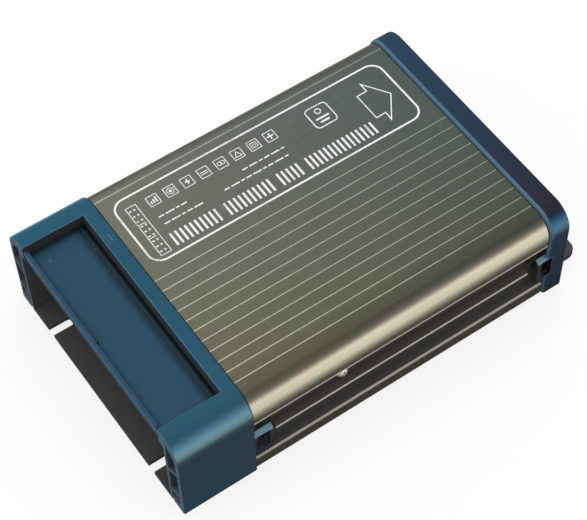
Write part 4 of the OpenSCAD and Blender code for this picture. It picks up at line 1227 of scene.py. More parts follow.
@dataclass
class EndCap:
    """What both end caps share: form, tongue, latch tabs and catches."""

    book: FinishBook
    at: Places
    corner: float = 10.5
    bevel: float = 0.6
    joint_bevel: float = 0.3
    tab_slope: float = 2.0
    tab_inner: float = 59.4
    tab_outer: float = 61.8
    tab_low: float = 10.5
    tab_high: float = 25.0
    hollow_starts: Point = (0.7, 0.35, 0.6)  # how far inside the outline, along each axis
    tip_round: float = 1.2
    frame: float = 1.9
    catch_tip: float = 55.3
    catch_span: Span = (14.5, 17.5)
    catch_ends: Span = (0.4, 1.6)
    catch_slope: float = 1.2
    tongue_form: Outline = (58.7, 36.0, 44.7, 6.7)
    tongue_room: Outline = (57.1, 34.0, 43.1, 5.1)

    def form(self, name: str, low_x: float, high_x: float, outer_x: float) -> Solid:
        """Solid form of a cap with both of its outlines eased.

        Args:
            name: Name of the piece.
            low_x: Where it starts.
            high_x: Where it ends.
            outer_x: Which of these is its open outer end.

        Returns:
            The form.
        """
        at = self.at
        shell = arch(name, low_x, high_x, at.cap_half, 0.0, at.cap_top, self.corner, 16)
        for end, width in ((outer_x, self.bevel), (low_x + high_x - outer_x, self.joint_bevel)):
            round_edges(shell, lambda edge: not runs_along(edge, (1, 0, 0)) and middle(edge).z > NEAR
                        and abs(middle(edge).x - end) < NEAR, width, 3)
        return shell

    def tongue(self, low_x: float, high_x: float) -> Solid:
        """Tongue that plugs into the crown of the housing."""
        outer = arch("tongue", low_x, high_x, *self.tongue_form)
        return meet(outer, arch("tongue_room", low_x - 1, high_x + 1, *self.tongue_room))

    def latch(self, side: int, root: float, tip: float, window: Span, frame_x: float,
              way: int) -> Solid:
        """Latch tab with its window, and the catch on the window's frame.

        Args:
            side: Side of the unit.
            root: X of the tab's root.
            tip: X of its tip.
            window: Lowest and highest X of its window.
            frame_x: X of the window's edge that carries the catch.
            way: Way that the tab points.

        Returns:
            The tab.
        """
        inner, outer = span(side, self.tab_inner, self.tab_outer)
        tab = block("latch_tab", (min(root, tip), inner, self.tab_low),
                    (max(root, tip), outer, self.tab_high))
        round_edges(tab, lambda edge: abs(middle(edge).x - tip) < NEAR and runs_along(edge, (0, 1, 0))
                    and middle(edge).z < self.tab_high - NEAR, self.tip_round, 4)
        round_edges(tab, lambda edge: runs_along(edge, (1, 0, 0)) and middle(edge).z > self.tab_high - NEAR
                    and abs(middle(edge).y) > self.tab_outer - NEAR, self.tab_slope, 1)
        meet(tab, block("window", (window[0], inner - 1.2, self.tab_low + self.frame),
                        (window[1], outer + 1.2, self.tab_high - self.frame)))
        finishes = self.finishes
        nowhere, everywhere = (lambda face: False), (lambda face: True)
        # The whole tab takes the near black painted shade, and its slope the painted highlight.
        tell_apart(tab, finishes, nowhere, nowhere, everywhere, lambda face: 0.5 < face.normal.z < 0.9)
        soften(tab, 0.25)
        inner, outer = span(side, self.catch_tip, self.tab_inner + 1)
        (bottom, top), (ahead, behind) = self.catch_span, self.catch_ends
        ends = sorted((frame_x + ahead * way, frame_x - behind * way))
        catch = block("catch", (ends[0], inner, bottom), (ends[1], outer, top))
        push(catch, lambda corner: abs(abs(corner.co.y) - self.catch_tip) < NEAR
             and abs(corner.co.x - frame_x - ahead * way) < NEAR, (-self.catch_slope * way, 0, 0))
        # The catch takes the near black painted shade too.
        tell_apart(catch, finishes, nowhere, nowhere, everywhere)
        return gather(tab, [soften(catch, 0.2)])

    @property
    def finishes(self) -> list[Material]:
        """Materials of the cap: its skin, painted shade for its hollows, painted highlight for its edges,
        near black painted shade for its latches and recess walls, and painted highlight for the latch slopes.
        """
        return [self.book.get(name) for name in (self.skin, "shade", "rim", "dusk", "slope")]

    def in_hollow(self, face: Face) -> bool:
        """Whether a face lies inside the cap's outline."""
        spot, half, top = middle(face), self.at.cap_half, self.at.cap_top
        along, sideways, down = self.hollow_starts
        across, up = abs(spot.y) - (half - self.corner), spot.z - (top - self.corner)
        inside = abs(spot.y) < half - sideways and spot.z < top - down
        if across > 0 and up > 0:
            inside = math.hypot(across, up) < self.corner - sideways
        low, high = self.reach
        return inside and low + along < spot.x < high - along

    def in_recess(self, face: Face) -> bool:
        """Whether a face is a wall of a recess in the cap's top."""
        return False

    def dress(self, shell: Solid, parts: Iterable[Solid], node: str) -> Solid:
        """Joins the parts of a cap and dresses it.

        Args:
            shell: The cap's form.
            parts: What is joined to it.
            node: CAD node that it stands for.

        Returns:
            The cap.
        """
        # Hollows take painted shade, edges painted highlight and recess walls the near black painted shade.
        soften(tell_apart(shell, self.finishes, self.in_hollow, self.on_edge, self.in_recess), 0.0)
        gather(shell, parts)
        return hand_over(shell, self.finishes, "unit", node)


@dataclass
class TerminalCap(EndCap):
    """End cap with the terminal bay, the recess of the cover and two hollow arms."""

    recess_half: float = 49.7
    bay_half: float = 52.8
    bay_top: float = 39.9
    recess_floor: float = 38.9
    hollow_depth: float = 27.0
    hollow_inner: float = 54.4
    rim_round: float = 0.5
    arm_room: Outline = (60.7, 3.8, 43.7, 8.7)
    ribs: tuple[Span, ...] = ((0.35, 5.65), (11.75, 13.35), (28.25, 29.85))
    rib_overlap: float = 0.63
    rib_slant: float = 4.2
    board_window: Point = (52.0, 7.0, 28.3)  # half width, bottom, top
    pin_hole: Point = (1.05, 50.8, 42.1)  # radius, distance across, height
    ledge_ends: Span = (4.0, 20.0)
    ledge_span: Span = (39.3, 40.9)
    ledge_drop: float = 2.9
    window_start: float = 1.4
    skin: str = "blue"

    @property
    def reach(self) -> Span:
        """Where the cap starts and ends."""
        return self.at.near, self.at.joint

    def on_edge(self, face: Face) -> bool:
        """Whether a face is the cap's open end or the bevel round the recess."""
        spot, normal = middle(face), face.normal
        on_end = spot.x < self.at.near + 0.65 and normal.x < -0.35
        on_rim = (spot.z > self.at.cap_top - 0.55 and 0.75 < normal.z < 0.98
                  and abs(spot.y) < self.recess_half + 0.6 and self.at.near + 1 < spot.x < self.at.bay + 0.6)
        return on_end or on_rim

    def in_recess(self, face: Face) -> bool:
        """Whether a face is a wall of the cover's recess."""
        spot = middle(face)
        return (self.recess_floor < spot.z < self.at.cap_top - 0.3 and abs(face.normal.z) < 0.2
                and self.at.near + 1 < spot.x < self.at.bay + NEAR and abs(spot.y) < self.recess_half + NEAR)

    def build(self) -> Solid:
        """Models the cap and dresses it.

        Returns:
            The cap.
        """
        at = self.at
        shell = self.form("terminal_cap", at.near, at.joint, at.near)
        self.open_recess(shell)
        meet(shell, block("bay", (at.near - 1, -self.bay_half, -1), (at.bay, self.bay_half, self.bay_top)))
        at.hollow(shell, at.bay + 2, at.joint + 1)
        self.hollow_arms(shell)
        at.clear_plate(shell, at.near - 1, at.joint + 1)
        half, low, high = self.board_window
        meet(shell, block("board_window", (at.bay - 1, -half, low), (at.bay + 3, half, high)))
        radius, across, height = self.pin_hole
        for side in (-1, 1):
            centre = (at.bay - at.hinge_in, side * across, height)
            meet(shell, drum("pin_hole", centre, radius, 4.2, Axis.Y, 24))
        parts = [tell_apart(self.tongue(at.bay + 1.5, at.joint + 5), self.finishes)]
        for side in (-1, 1):
            tip = at.joint + at.near_tab
            frame_x = tip - self.frame
            window = (at.joint + self.window_start, frame_x)
            parts.append(self.latch(side, at.joint - 3, tip, window, frame_x, 1))
            parts.append(self.ledge(side))
        return self.dress(shell, parts, "terminal_end_cap")

    def open_recess(self, shell: Solid) -> None:
        """Opens the recess of the cover in the cap's top and rounds its edge."""
        at = self.at
        meet(shell, block("recess", (at.near - 1, -self.recess_half, self.recess_floor),
                          (at.bay, self.recess_half, at.cap_top + 1)))
        def on_rim(edge: Edge) -> bool:
            """Whether an edge lies on the recess's upper rim."""
            spot = middle(edge)
            if spot.z < at.cap_top - NEAR:
                return False
            along = runs_along(edge, (1, 0, 0)) and abs(abs(spot.y) - self.recess_half) < NEAR
            across = runs_along(edge, (0, 1, 0)) and abs(spot.x - at.bay) < NEAR
            return (along or across) and abs(spot.y) < self.recess_half + NEAR
        round_edges(shell, on_rim, self.rim_round, 3)

    def hollow_arms(self, shell: Solid) -> None:
        """Hollows both arms out between their slanted ribs."""
        at = self.at
        room = arch("arm_room", at.near - 1, at.near + self.hollow_depth, *self.arm_room)
        meet(room, block("arm_middle", (at.near - 2, -self.hollow_inner, 0), (at.bay, self.hollow_inner, 50)))
        for side in (-1, 1):
            inner, outer = span(side, self.hollow_inner - self.rib_overlap,
                                self.arm_room[0] + self.rib_overlap)
            for low, high in self.ribs:
                rib = block("arm_rib", (at.near - 2, inner, low), (at.bay, outer, high))
                push(rib, lambda corner: abs(corner.co.y) < self.hollow_inner, (0, 0, -self.rib_slant))
                meet(room, rib)
        meet(shell, room)

    def ledge(self, side: int) -> Solid:
        """Ledge on an arm that the closed cover lies on.

        Args:
            side: Side of the unit.

        Returns:
            The ledge.
        """
        inner, outer = span(side, self.recess_half - 1.4, self.bay_half + 0.5)
        (start, end), (low, high) = self.ledge_ends, self.ledge_span
        bar = block("ledge", (self.at.near + start, inner, low), (self.at.near + end, outer, high))
        push(bar, lambda corner: abs(corner.co.y) > self.bay_half and corner.co.z < low + NEAR,
             (0, 0, -self.ledge_drop))
        return soften(tell_apart(bar, self.finishes), 0.2)


@dataclass
class UpperCap(EndCap):
    """Plain end cap at the upper end."""

    joint_bevel: float = 1.3
    end_wall: float = 2.2
    side_wall: float = 60.7
    tongue_inset: float = 1.7
    window_end: float = 2.8
    slope_end: float = 3.4
    slope_deep: float = 1.6
    # The upper cap's skin is the darker, painted-shade copy of the blue.
    skin: str = "shaded_end_blue"

    @property
    def reach(self) -> Span:
        """Where the cap starts and ends."""
        return self.at.upper_joint, self.at.far

    def on_edge(self, face: Face) -> bool:
        """Whether a face is the bevel along the joint."""
        spot = middle(face)
        return (spot.x < self.at.upper_joint + self.joint_bevel and spot.z > self.at.cap_top - self.corner
                and -0.98 < face.normal.x < -0.2)

    def build(self) -> Solid:
        """Models the cap and dresses it.

        Returns:
            The cap.
        """
        at = self.at
        shell = self.form("upper_cap", at.upper_joint, at.far, at.far)
        at.hollow(shell, at.upper_joint - 1, at.far - self.end_wall)
        for side in (-1, 1):
            inner, outer = span(side, at.wall, self.side_wall)
            for low, high in at.channels:
                meet(shell, block("side_room", (at.upper_joint - 1, inner, low),
                                  (at.far - self.end_wall, outer, high)))
            inner, outer = span(side, self.tab_inner - 1.2, at.cap_half + 1)
            meet(shell, block("window", (at.upper_joint - 1, inner, self.tab_low + self.frame),
                              (at.upper_joint + self.window_end, outer, self.tab_high - self.frame)))
            inner, outer = span(side, self.tab_outer - self.slope_deep, at.cap_half + 1)
            meet(shell, block("slope_gap", (at.upper_joint - 1, inner, self.tab_high - self.frame - 0.1),
                              (at.upper_joint + self.slope_end, outer, self.tab_high + 0.1)))
        at.clear_plate(shell, at.upper_joint - 1, at.far + 1)
        parts = [tell_apart(self.tongue(at.upper_joint - 5, at.far - self.tongue_inset), self.finishes)]
        for side in (-1, 1):
            tip = at.upper_joint - at.tab_reach
            frame_x = tip + self.frame
            window = (frame_x, at.upper_joint + self.window_end)
            parts.append(self.latch(side, at.far - self.tongue_inset, tip, window, frame_x, -1))
        return self.dress(shell, parts, "upper_end_cap")


@dataclass
class TerminalCover:
    """Flap over the terminals, with a lip to lift it by, a hinge barrel and ribs underneath."""

    book: FinishBook
    at: Places
    half: float = 49.3
    top: float = 43.0
    under: float = 41.2
    lip_top: float = 47.0
    lip_mark: float = 44.2
    lip: float = 1.6
    grip: Span = (-3.65, 6.85)
    grip_extra: float = 0.9
    grip_proud: float = 0.3
    barrel: float = 1.5
    pin: float = 1.0
    pin_reach: float = 51.9
    hinge_down: float = 0.9
    rib_pitch: float = 16.0
    rib_count: int = 5
    rib_half: float = 0.6
    rib_deep: float = 1.6

    def build(self) -> Solid:
        """Models the cover and dresses it.

        Returns:
            The cover.
        """
        lip_x = self.at.near + 0.2
        hinge_x, hinge_z = self.at.bay - self.at.hinge_in, self.top - self.hinge_down
        flap = block("cover", (lip_x, -self.half, self.under), (hinge_x, self.half, self.top))
        start_edit(flap)
        score(lambda face: face.normal.z > 0.9, (lip_x + self.lip, 0, 0), (1, 0, 0))
        draw_out(lambda face: face.normal.z > 0.9 and middle(face).x < lip_x + self.lip,
                 (0, 0, self.lip_top - self.top))
        score(lambda face: face.normal.x < -0.9, (0, 0, self.lip_mark), (0, 0, 1))
        clear_selection()
        meet(flap, block("grip", (lip_x + 0.4, self.grip[0], self.under + 0.5),
                         (lip_x + self.lip + self.grip_extra, self.grip[1], self.lip_top + self.grip_proud)),
             Meeting.FUSE)
        finishes = [self.book.get(name) for name in ("cover", "rim")]
        # The upper part of the lip's front face takes the painted edge highlight.
        tell_apart(flap, finishes, lambda face: face.normal.x < -0.9
                   and middle(face).x < lip_x + 0.5 and middle(face).z > self.lip_mark)
        soften(flap, 0.3, 3)
        parts = [drum("barrel", (hinge_x, 0, hinge_z), self.barrel, 2 * self.half, Axis.Y, 32),
                 drum("pins", (hinge_x, 0, hinge_z), self.pin, 2 * self.pin_reach, Axis.Y, 24)]
        first = self.rib_pitch * (self.rib_count - 1) / 2
        rib = block("cover_rib", (lip_x + 1, -self.rib_half - first, self.under - self.rib_deep),
                    (hinge_x - 2, self.rib_half - first, self.under + 0.5))
        parts.append(repeat(rib, self.rib_count, (0, self.rib_pitch, 0)))
        gather(flap, [soften(tell_apart(part, finishes), 0.2) for part in parts])
        return hand_over(flap, finishes, "cover", "terminal_cover")


@dataclass
class MountingPlate:
    """Steel plate under the unit, with an ear and four open notches."""

    book: FinishBook
    at: Places
    half: float = 55.0
    thick: float = 2.0
    ear_corner: float = 5.0
    near_corner: float = 1.5
    notch_half: float = 2.2
    notch_depth: float = 10.4
    notch_at: float = 38.7
    screw_hole: float = 1.7
    countersink: float = 3.02
    countersink_deep: float = 1.5

    def build(self) -> Solid:
        """Models the plate and dresses it.

        Returns:
            The plate.
        """
        at = self.at
        sheet = block("plate", (at.near, -self.half, 0), (at.ear, self.half, self.thick))
        round_edges(sheet, lambda edge: runs_along(edge, (0, 0, 1)) and middle(edge).x > 0,
                    self.ear_corner, 10)
        round_edges(sheet, lambda edge: runs_along(edge, (0, 0, 1)) and middle(edge).x < at.near + NEAR,
                    self.near_corner, 5)
        for low, high, round_end in ((at.near - 5, at.near + self.notch_depth, at.near + self.notch_depth),
                                     (at.ear - self.notch_depth, at.ear + 5, at.ear - self.notch_depth)):
            for side in (-1, 1):
                self.cut_notch(sheet, low, high, round_end, side)
        for place, side_y in at.foot_screws:
            meet(sheet, drum("screw_hole", (place, side_y, 1.0), self.screw_hole, 4.0, Axis.Z, 32))
            meet(sheet, drum("countersink", (place, side_y, 0.74), self.countersink,
                             self.countersink_deep + 0.02, Axis.Z, 32, 1.5))
        soften(sheet, 0.25)
        return hand_over(sheet, [self.book.get("black_plate")], "unit", "mounting_plate")

    def cut_notch(self, sheet: Solid, low: float, high: float, round_end: float, side: int) -> None:
        """Cuts one open notch with a round end.

        Args:
            sheet: The plate.
            low: Lowest X of the notch.
            high: Highest X of the notch.
            round_end: X of its round end.
            side: Side of the unit.
        """
        middle_y = side * self.notch_at
        tool = block("notch", (low, middle_y - self.notch_half, -1), (high, middle_y + self.notch_half, 4))
        round_edges(tool, lambda edge: runs_along(edge, (0, 0, 1)) and abs(middle(edge).x - round_end) < NEAR,
                    self.notch_half - 0.01, 10)
        meet(sheet, tool)


@dataclass(frozen=True)
class PanScrew:
    """Pan head machine screw with a cross recess, modelled along Z with its seat at zero."""

    radius: float
    length: float
    head_radius: float
    head_height: float
    recess: Point = (0.55, 0.13, 0.4)  # half length, half width and floor, as shares of the head

    def model(self, name: str) -> Solid:
        """Models the screw.

        Args:
            name: Name of the screw.

        Returns:
            The screw.
        """
        head = drum(name, (0, 0, self.head_height / 2), self.head_radius, self.head_height, Axis.Z, 48)
        round_edges(head, lambda edge: min(corner.co.z for corner in edge.verts) > self.head_height - NEAR,
                    0.78 * self.head_height, 6)
        long_part, wide_part, deep_part = self.recess
        reach, half = long_part * self.head_radius, wide_part * self.head_radius
        for along, across in ((reach, half), (half, reach)):
            tool = block("recess", (-along, -across, deep_part * self.head_height),
                         (along, across, self.head_height + 1))
            start_edit(tool)
            pick(Element.FACE, lambda face: face.normal.z < -0.9)
            bpy.ops.transform.resize(value=(0.7, 0.7, 1.0))
            clear_selection()
            meet(head, tool)
        shank = drum("shank", (0, 0, -self.length / 2), self.radius, self.length, Axis.Z, 24)
        round_edges(shank, lambda edge: max(corner.co.z for corner in edge.verts) < -self.length + NEAR,
                    0.35 * self.radius, 1)
        return gather(soften(head, 0.08), [soften(shank, 0.0)])


@dataclass
class SideScrews:
    """Two screws in the side walls, whose heads show in the upper channel."""

    book: FinishBook
    at: Places
    models: tuple[PanScrew, ...] = (PanScrew(1.5, 11.3, 3.0, 3.4), PanScrew(1.5, 10.8, 3.0, 3.4))

    def build(self) -> Solid:
        """Models both screws and dresses them.

        Returns:
            The screws.
        """
        placed = []
        for screw, (place, side) in zip(self.models, self.at.side_screws):
            model = screw.model("side_screw")
            seat = (place, side * self.at.wall, self.at.side_screw_height)
            placed.append(copy_to(model, "side_screws", seat, Axis.Y if side < 0 else Axis.Y_BACK))
            bpy.data.objects.remove(model)
        pair = gather(placed[0], placed[1:])
        return hand_over(pair, [self.book.get("screw")], "unit", "side_screws")


@dataclass
class TerminalBlock:
    """Nine-way barrier terminal block with its clamp screws."""

    book: FinishBook
    at: Places
    front: float = -89.25
    back: float = -73.75
    low_y: float = -40.9
    count: int = 9
    pitch: float = 9.5
    barrier: float = 1.5
    foot: float = 9.8
    step: float = 18.8
    top: float = 27.8
    screw_x: float = -83.05
    screw_up: float = 1.8
    screw: PanScrew = PanScrew(1.7, 8.2, 2.65, 2.4)
    hole: float = 1.75

    def build(self) -> list[Solid]:
        """Models the block and its screws.

        Returns:
            The pieces.
        """
        high_y = self.low_y + self.count * self.pitch + self.barrier
        case = block("terminals", (self.front, self.low_y, self.foot), (self.back, high_y, self.top))
        round_edges(case, lambda edge: runs_along(edge, (0, 1, 0)) and middle(edge).z > self.top - NEAR
                    and middle(edge).x < self.front + NEAR, 2.0, 4)
        cell = block("cell", (self.front - 1, self.low_y + self.barrier, self.step),
                     (self.back - 2, self.low_y + self.pitch, self.top + 1))
        meet(case, repeat(cell, self.count, (0, self.pitch, 0)))
        hole = drum("clamp_hole", (self.screw_x, self.places[0], self.foot + 7), self.hole, 10.0, Axis.Z, 24)
        meet(case, repeat(hole, self.count, (0, self.pitch, 0)))
        soften(case, 0.2)
        finish = [self.book.get("black_block")]
        return [hand_over(case, finish, "unit", "terminal_block"), self.screws()]

    @property
    def places(self) -> list[float]:
        """Middle of each terminal across the block."""
        first = self.low_y + self.barrier / 2 + self.pitch / 2
        return [first + self.pitch * number for number in range(self.count)]

    def screws(self) -> Solid:
        """Models the clamp screws in their row.

        Returns:
            The screws.
        """
        model = self.screw.model("clamp_screw")
        copies = [copy_to(model, f"clamp_screw_{number}", (self.screw_x, place, self.step + self.screw_up))
                  for number, place in enumerate(self.places)]
        bpy.data.objects.remove(model)
        row = gather(copies[0], copies[1:])
        row.name = "terminal_clamp_screws"
        return hand_over(row, [self.book.get("nickel")], "unit", "terminal_screws")


class Sign(Enum):
    """Plain signs of the print, in the order of their row."""

    STEPS = 0
    TARGET = 1
    BOLT = 2
    LINES = 3
    RINGS = 4
    PEAK = 5
    FRAME = 6
    CROSS = 7


@dataclass
class CrownPrint:
    """White print on the crown, kept to plain shapes: frame, ticks, bars, signs and an arrow."""

    book: FinishBook
    at: Places
    lift: float = 0.04
    sunk: float = 0.01
    border: Box = (-62.5, 12.9, 69.5, 48.4)
    border_round: float = 6.0
    border_line: float = 0.85
    fine_line: float = 0.34
    tick_rows: tuple[tuple[float, int], ...] = ((-50.0, 10), (-24.5, 10), (1.0, 5), (15.0, 15))
    tick_pitch: float = 2.3
    tick_wide: float = 0.95
    tick_low: float = 16.2
    tick_high: float = 22.9
    captions: tuple[tuple[float, float, float], ...] = (
        (-48.9, -35.2, 32.1), (-48.6, -30.3, 28.0), (-8.6, 11.9, 32.5), (-20.1, 11.8, 28.2))
    dash_lengths: tuple[float, ...] = (2.6, 4.1, 1.7)
    dash_gap: float = 0.75
    dash_half: float = 0.32
    dash_least: float = 0.8
    sign_first: float = -46.05
    sign_pitch: float = 8.07
    sign_y: float = 40.55
    sign_half: Span = (2.55, 2.7)
    table_box: Box = (-58.0, 15.5, -53.0, 43.2)
    dividers: Span = (25.0, 33.0)
    row_first: float = 17.6
    row_pitch: float = 2.9
    row_count: int = 9
    badge_at: Span = (33.85, 37.45)
    badge_half: Span = (5.45, 5.75)
    arrow_corners: tuple[Span, ...] = ((51.5, 22.7), (56.3, 22.9), (56.0, 17.9), (64.6, 30.1), (56.5, 42.2),
                                       (56.4, 37.2), (51.5, 37.1))

    def build(self) -> Solid:
        """Models the print and dresses it.

        Returns:
            The print.
        """
        shapes = [self.frame_line(self.border, self.border_round, self.border_line)]
        shapes += self.ticks() + self.lines_of_dashes() + self.signs() + self.table() + self.badge()
        shapes.append(self.arrow())
        ink = gather(shapes[0], shapes[1:])
        ink.name = "crown_print"
        modify(ink, "SOLIDIFY", thickness=self.lift + self.sunk, offset=-1.0)
        return hand_over(ink, [self.book.get("ink")], "unit")

    def film(self, name: str, corners: Sequence[Span], line: float = 0.0,
             rounding: float = 0.0) -> Solid:
        """Flat shape of ink, filled or as an outline.

        Args:
            name: Name of the shape.
            corners: Its corners, anticlockwise.
            line: Width of its outline, or zero where it is filled.
            rounding: Radius of its corners.

        Returns:
            The shape.
        """
        clear_selection()
        level = self.at.body_top + self.lift
        bpy.ops.mesh.primitive_circle_add(vertices=len(corners), radius=1.0, fill_type="NGON",
                                          location=(0, 0, level))
        shape = settle(name)
        start_edit(shape)
        for number, corner in enumerate(corners):
            pick(Element.VERTEX, lambda point: point.index == number)
            spot = shape_corner(number)
            bpy.ops.transform.translate(value=(corner[0] - spot[0], corner[1] - spot[1], 0))
        bpy.ops.mesh.select_all(action="SELECT")
        if rounding:
            bpy.ops.mesh.bevel(offset=rounding, segments=8, affect="VERTICES", clamp_overlap=False)
            bpy.ops.mesh.select_all(action="SELECT")
        bpy.ops.mesh.normals_make_consistent(inside=False)
        if line:
            bpy.ops.mesh.inset(thickness=line, depth=0.0, use_even_offset=True)
            bpy.ops.mesh.delete(type="FACE")
        face_up()
        clear_selection()
        return shape

    def frame_line(self, box: Box, rounding: float, line: float) -> Solid:
        """Outline of a rounded rectangle."""
        return self.film("frame_line", corners_of(*box), line, rounding)

    def bar(self, low_x: float, low_y: float, high_x: float, high_y: float, rounding: float = 0.0) -> Solid:
        """Filled bar between two corners."""
        return self.film("bar", corners_of(low_x, low_y, high_x, high_y), 0.0, rounding)

    def disc(self, x: float, y: float, radius: float, line: float = 0.0) -> Solid:
        """Disc, or ring where a line is given.

        Args:
            x: X of its middle.
            y: Y of its middle.
            radius: Its radius.
            line: Width of the ring's line.

        Returns:
            The disc.
        """
        turns = [2 * math.pi * step / 20 for step in range(20)]
        rim = [(x + radius * math.cos(turn), y + radius * math.sin(turn)) for turn in turns]
        return self.film("disc", rim, line)

    def ticks(self) -> list[Solid]:
        """Four rows of upright ticks beside the grooves."""
        rows = []
        for start, count in self.tick_rows:
            tick = self.bar(start, self.tick_low, start + self.tick_wide, self.tick_high, 0.2)
            rows.append(repeat(tick, count, (self.tick_pitch, 0, 0)))
        return rows

    def lines_of_dashes(self) -> list[Solid]:
        """Thin broken lines in the middle of the print."""
        dashes = []
        for low, high, y in self.captions:
            spot = low
            for length in cycle(self.dash_lengths):
                end = min(spot + length, high)
                dashes.append(self.bar(spot, y - self.dash_half, end, y + self.dash_half, 0.15))
                spot = end + self.dash_gap
                if spot > high - self.dash_least:
                    break
        return dashes

    def signs(self) -> list[Solid]:
        """Row of square frames with a plain sign in each."""
        shapes = []
        for kind in Sign:
            x, y = self.sign_first + kind.value * self.sign_pitch, self.sign_y
            half_x, half_y = self.sign_half
            frame_box = (x - half_x, y - half_y, x + half_x, y + half_y)
            shapes.append(self.frame_line(frame_box, 0.25, self.fine_line))
            shapes += self.sign(kind, x, y)
        return shapes

    def sign(self, kind: Sign, x: float, y: float) -> list[Solid]:
        """One plain sign.

        Args:
            kind: Which of them.
            x: X of its middle.
            y: Y of its middle.

        Returns:
            Its shapes.
        """
        if kind is Sign.STEPS:
            return [self.bar(x + low, y - 1.5, x + low + 0.7, y + top)
                    for low, top in ((-1.6, -0.2), (-0.4, 0.6), (0.8, 1.5))]
        if kind is Sign.TARGET:
            return [self.disc(x, y, 1.7, 0.32), self.disc(x, y, 0.7)]
        if kind is Sign.BOLT:
            return [self.film("bolt", [(x - 0.4, y - 1.9), (x + 1.3, y + 0.3), (x + 0.2, y + 0.3),
                                       (x + 0.6, y + 1.9), (x - 1.3, y - 0.3), (x - 0.1, y - 0.3)])]
        if kind is Sign.LINES:
            return [self.bar(x - 1.7, y + low, x + 1.7, y + low + 0.4) for low in (-0.9, 0.1)]
        if kind is Sign.RINGS:
            return [self.disc(x + off, y, 1.1, 0.3) for off in (-0.6, 0.8)]
        if kind is Sign.PEAK:
            return [self.film("peak", [(x - 1.8, y - 1.5), (x + 1.8, y - 1.5), (x, y + 1.7)], 0.36)]
        if kind is Sign.FRAME:
            return [self.frame_line((x - 1.5, y - 1.5, x + 1.5, y + 1.5), 0.2, 0.32),
                    self.disc(x, y, 0.8, 0.3)]
        return [self.bar(x - 1.6, y - 0.3, x + 1.6, y + 0.3), self.bar(x - 0.3, y + 0.3, x + 0.3, y + 1.6),
                self.bar(x - 0.3, y - 1.6, x + 0.3, y - 0.3)]

    def table(self) -> list[Solid]:
        """Narrow table beside the terminals, with two dividers and a mark for each row."""
        shapes = [self.frame_line(self.table_box, 0.1, self.fine_line)]
        left, right = self.table_box[0], self.table_box[2]
        shapes += [self.bar(left + 0.2, y, right - 1.3, y + self.fine_line) for y in self.dividers]
        for number in range(self.row_count):
            y = self.row_first + self.row_pitch * number
            tail = right - 2.2
            shapes.append(self.film("pointer", [(tail, y - 0.6), (tail, y + 0.6), (tail + 1.0, y)]))
            shapes.append(self.bar(left + 0.7, y - 0.3, left + 1.8, y + 0.3))
        return shapes

    def badge(self) -> list[Solid]:
        """Rounded frame that holds a ring over two bars."""
        x, y = self.badge_at
        half_x, half_y = self.badge_half
        return [self.frame_line((x - half_x, y - half_y, x + half_x, y + half_y), 2.0, 0.55),
                self.disc(x, y + 2.55, 1.5, 0.45),
                *(self.bar(x - half, y + low, x + half, y + low + 0.9, 0.2)
                  for half, low in ((3.25, -1.55), (2.25, -3.55)))]

    def arrow(self) -> Solid:
        """Outline of the arrow that points to the upper end."""
        return self.film("arrow", self.arrow_corners, 0.5)


def corners_of(low_x: float, low_y: float, high_x: float, high_y: float) -> list[Span]:
    """Corners of a rectangle, anticlockwise."""
    return [(low_x, low_y), (high_x, low_y), (high_x, high_y), (low_x, high_y)]


def shape_corner(number: int) -> Span:
    """Place of one corner of the shape in edit mode.

    Args:
        number: Index of the corner.

    Returns:
        Its X and Y.
    """
    mesh = bmesh.from_edit_mesh(bpy.context.object.data)
    mesh.verts.ensure_lookup_table()
    return mesh.verts[number].co.x, mesh.verts[number].co.y


def face_up() -> None:
    """Turns the faces of the flat shape in edit mode so that they look up."""
    bpy.ops.mesh.select_all(action="SELECT")
    mesh = bmesh.from_edit_mesh(bpy.context.object.data)
    if sum(face.normal.z * face.calc_area() for face in mesh.faces) < 0:
        bpy.ops.mesh.flip_normals()


@dataclass
class Fittings:
    """Pieces whose CAD shape stays as it is, with the finish that each of them gets."""

    book: FinishBook
    finishes: dict[str, tuple[str, ...]] = field(default_factory=lambda: {
        "seal": ("terminal_end_seal", "upper_end_seal"),
        "screw": ("plate_screws",),
        "film": ("insulating_sheet",),
        "board": ("main_board",),
        "brass": ("terminal_contacts",),
        "nickel": ("terminal_clamps", "fuse_end_caps", "fuse_clips"),
        "trimmer": ("trimmer_body",),
        "rotor": ("trimmer_rotor",),
        "lamp": ("indicator_lamp",),
        "glass": ("fuse_tube",),
        "thermistor": ("inrush_thermistor",),
        "film_cap": ("line_capacitor",),
        "black_block": ("line_choke_base",),
        "ring_green": ("line_choke_core",),
        "wire": ("line_choke_windings", "output_choke_winding", "driver_transformer_coil"),
        "safety": ("safety_capacitors",),
        "device": ("bridge_rectifier", "switching_transistors", "output_rectifiers", "controller_chip",
                   "optocoupler"),
        "pad": ("primary_pad", "output_pad"),
        "bar": ("primary_clamp_bar", "output_clamp_bar"),
        "can_black": ("bulk_capacitors", "small_capacitors"),
        "ferrite": ("driver_transformer_core", "main_transformer_core"),
        "bobbin": ("main_transformer_bobbin",),
        "tape": ("main_transformer_winding",),
        "ring_yellow": ("output_choke_core",),
        "can_brown": ("output_capacitors",),
        "bare": ("sense_shunts",),
        "resistor": ("bleeder_resistors",),
    })

    def dress(self) -> None:
        """Gives every piece its finish."""
        for finish, names in self.finishes.items():
            for name in names:
                node = frame["nodes"][name]
                if not node.material_slots:
                    node.data.materials.append(None)
                for holder in node.material_slots:
                    holder.material = self.book.get(finish)
                LOG.info("%s: dressed in %s", name, finish)


# Studio


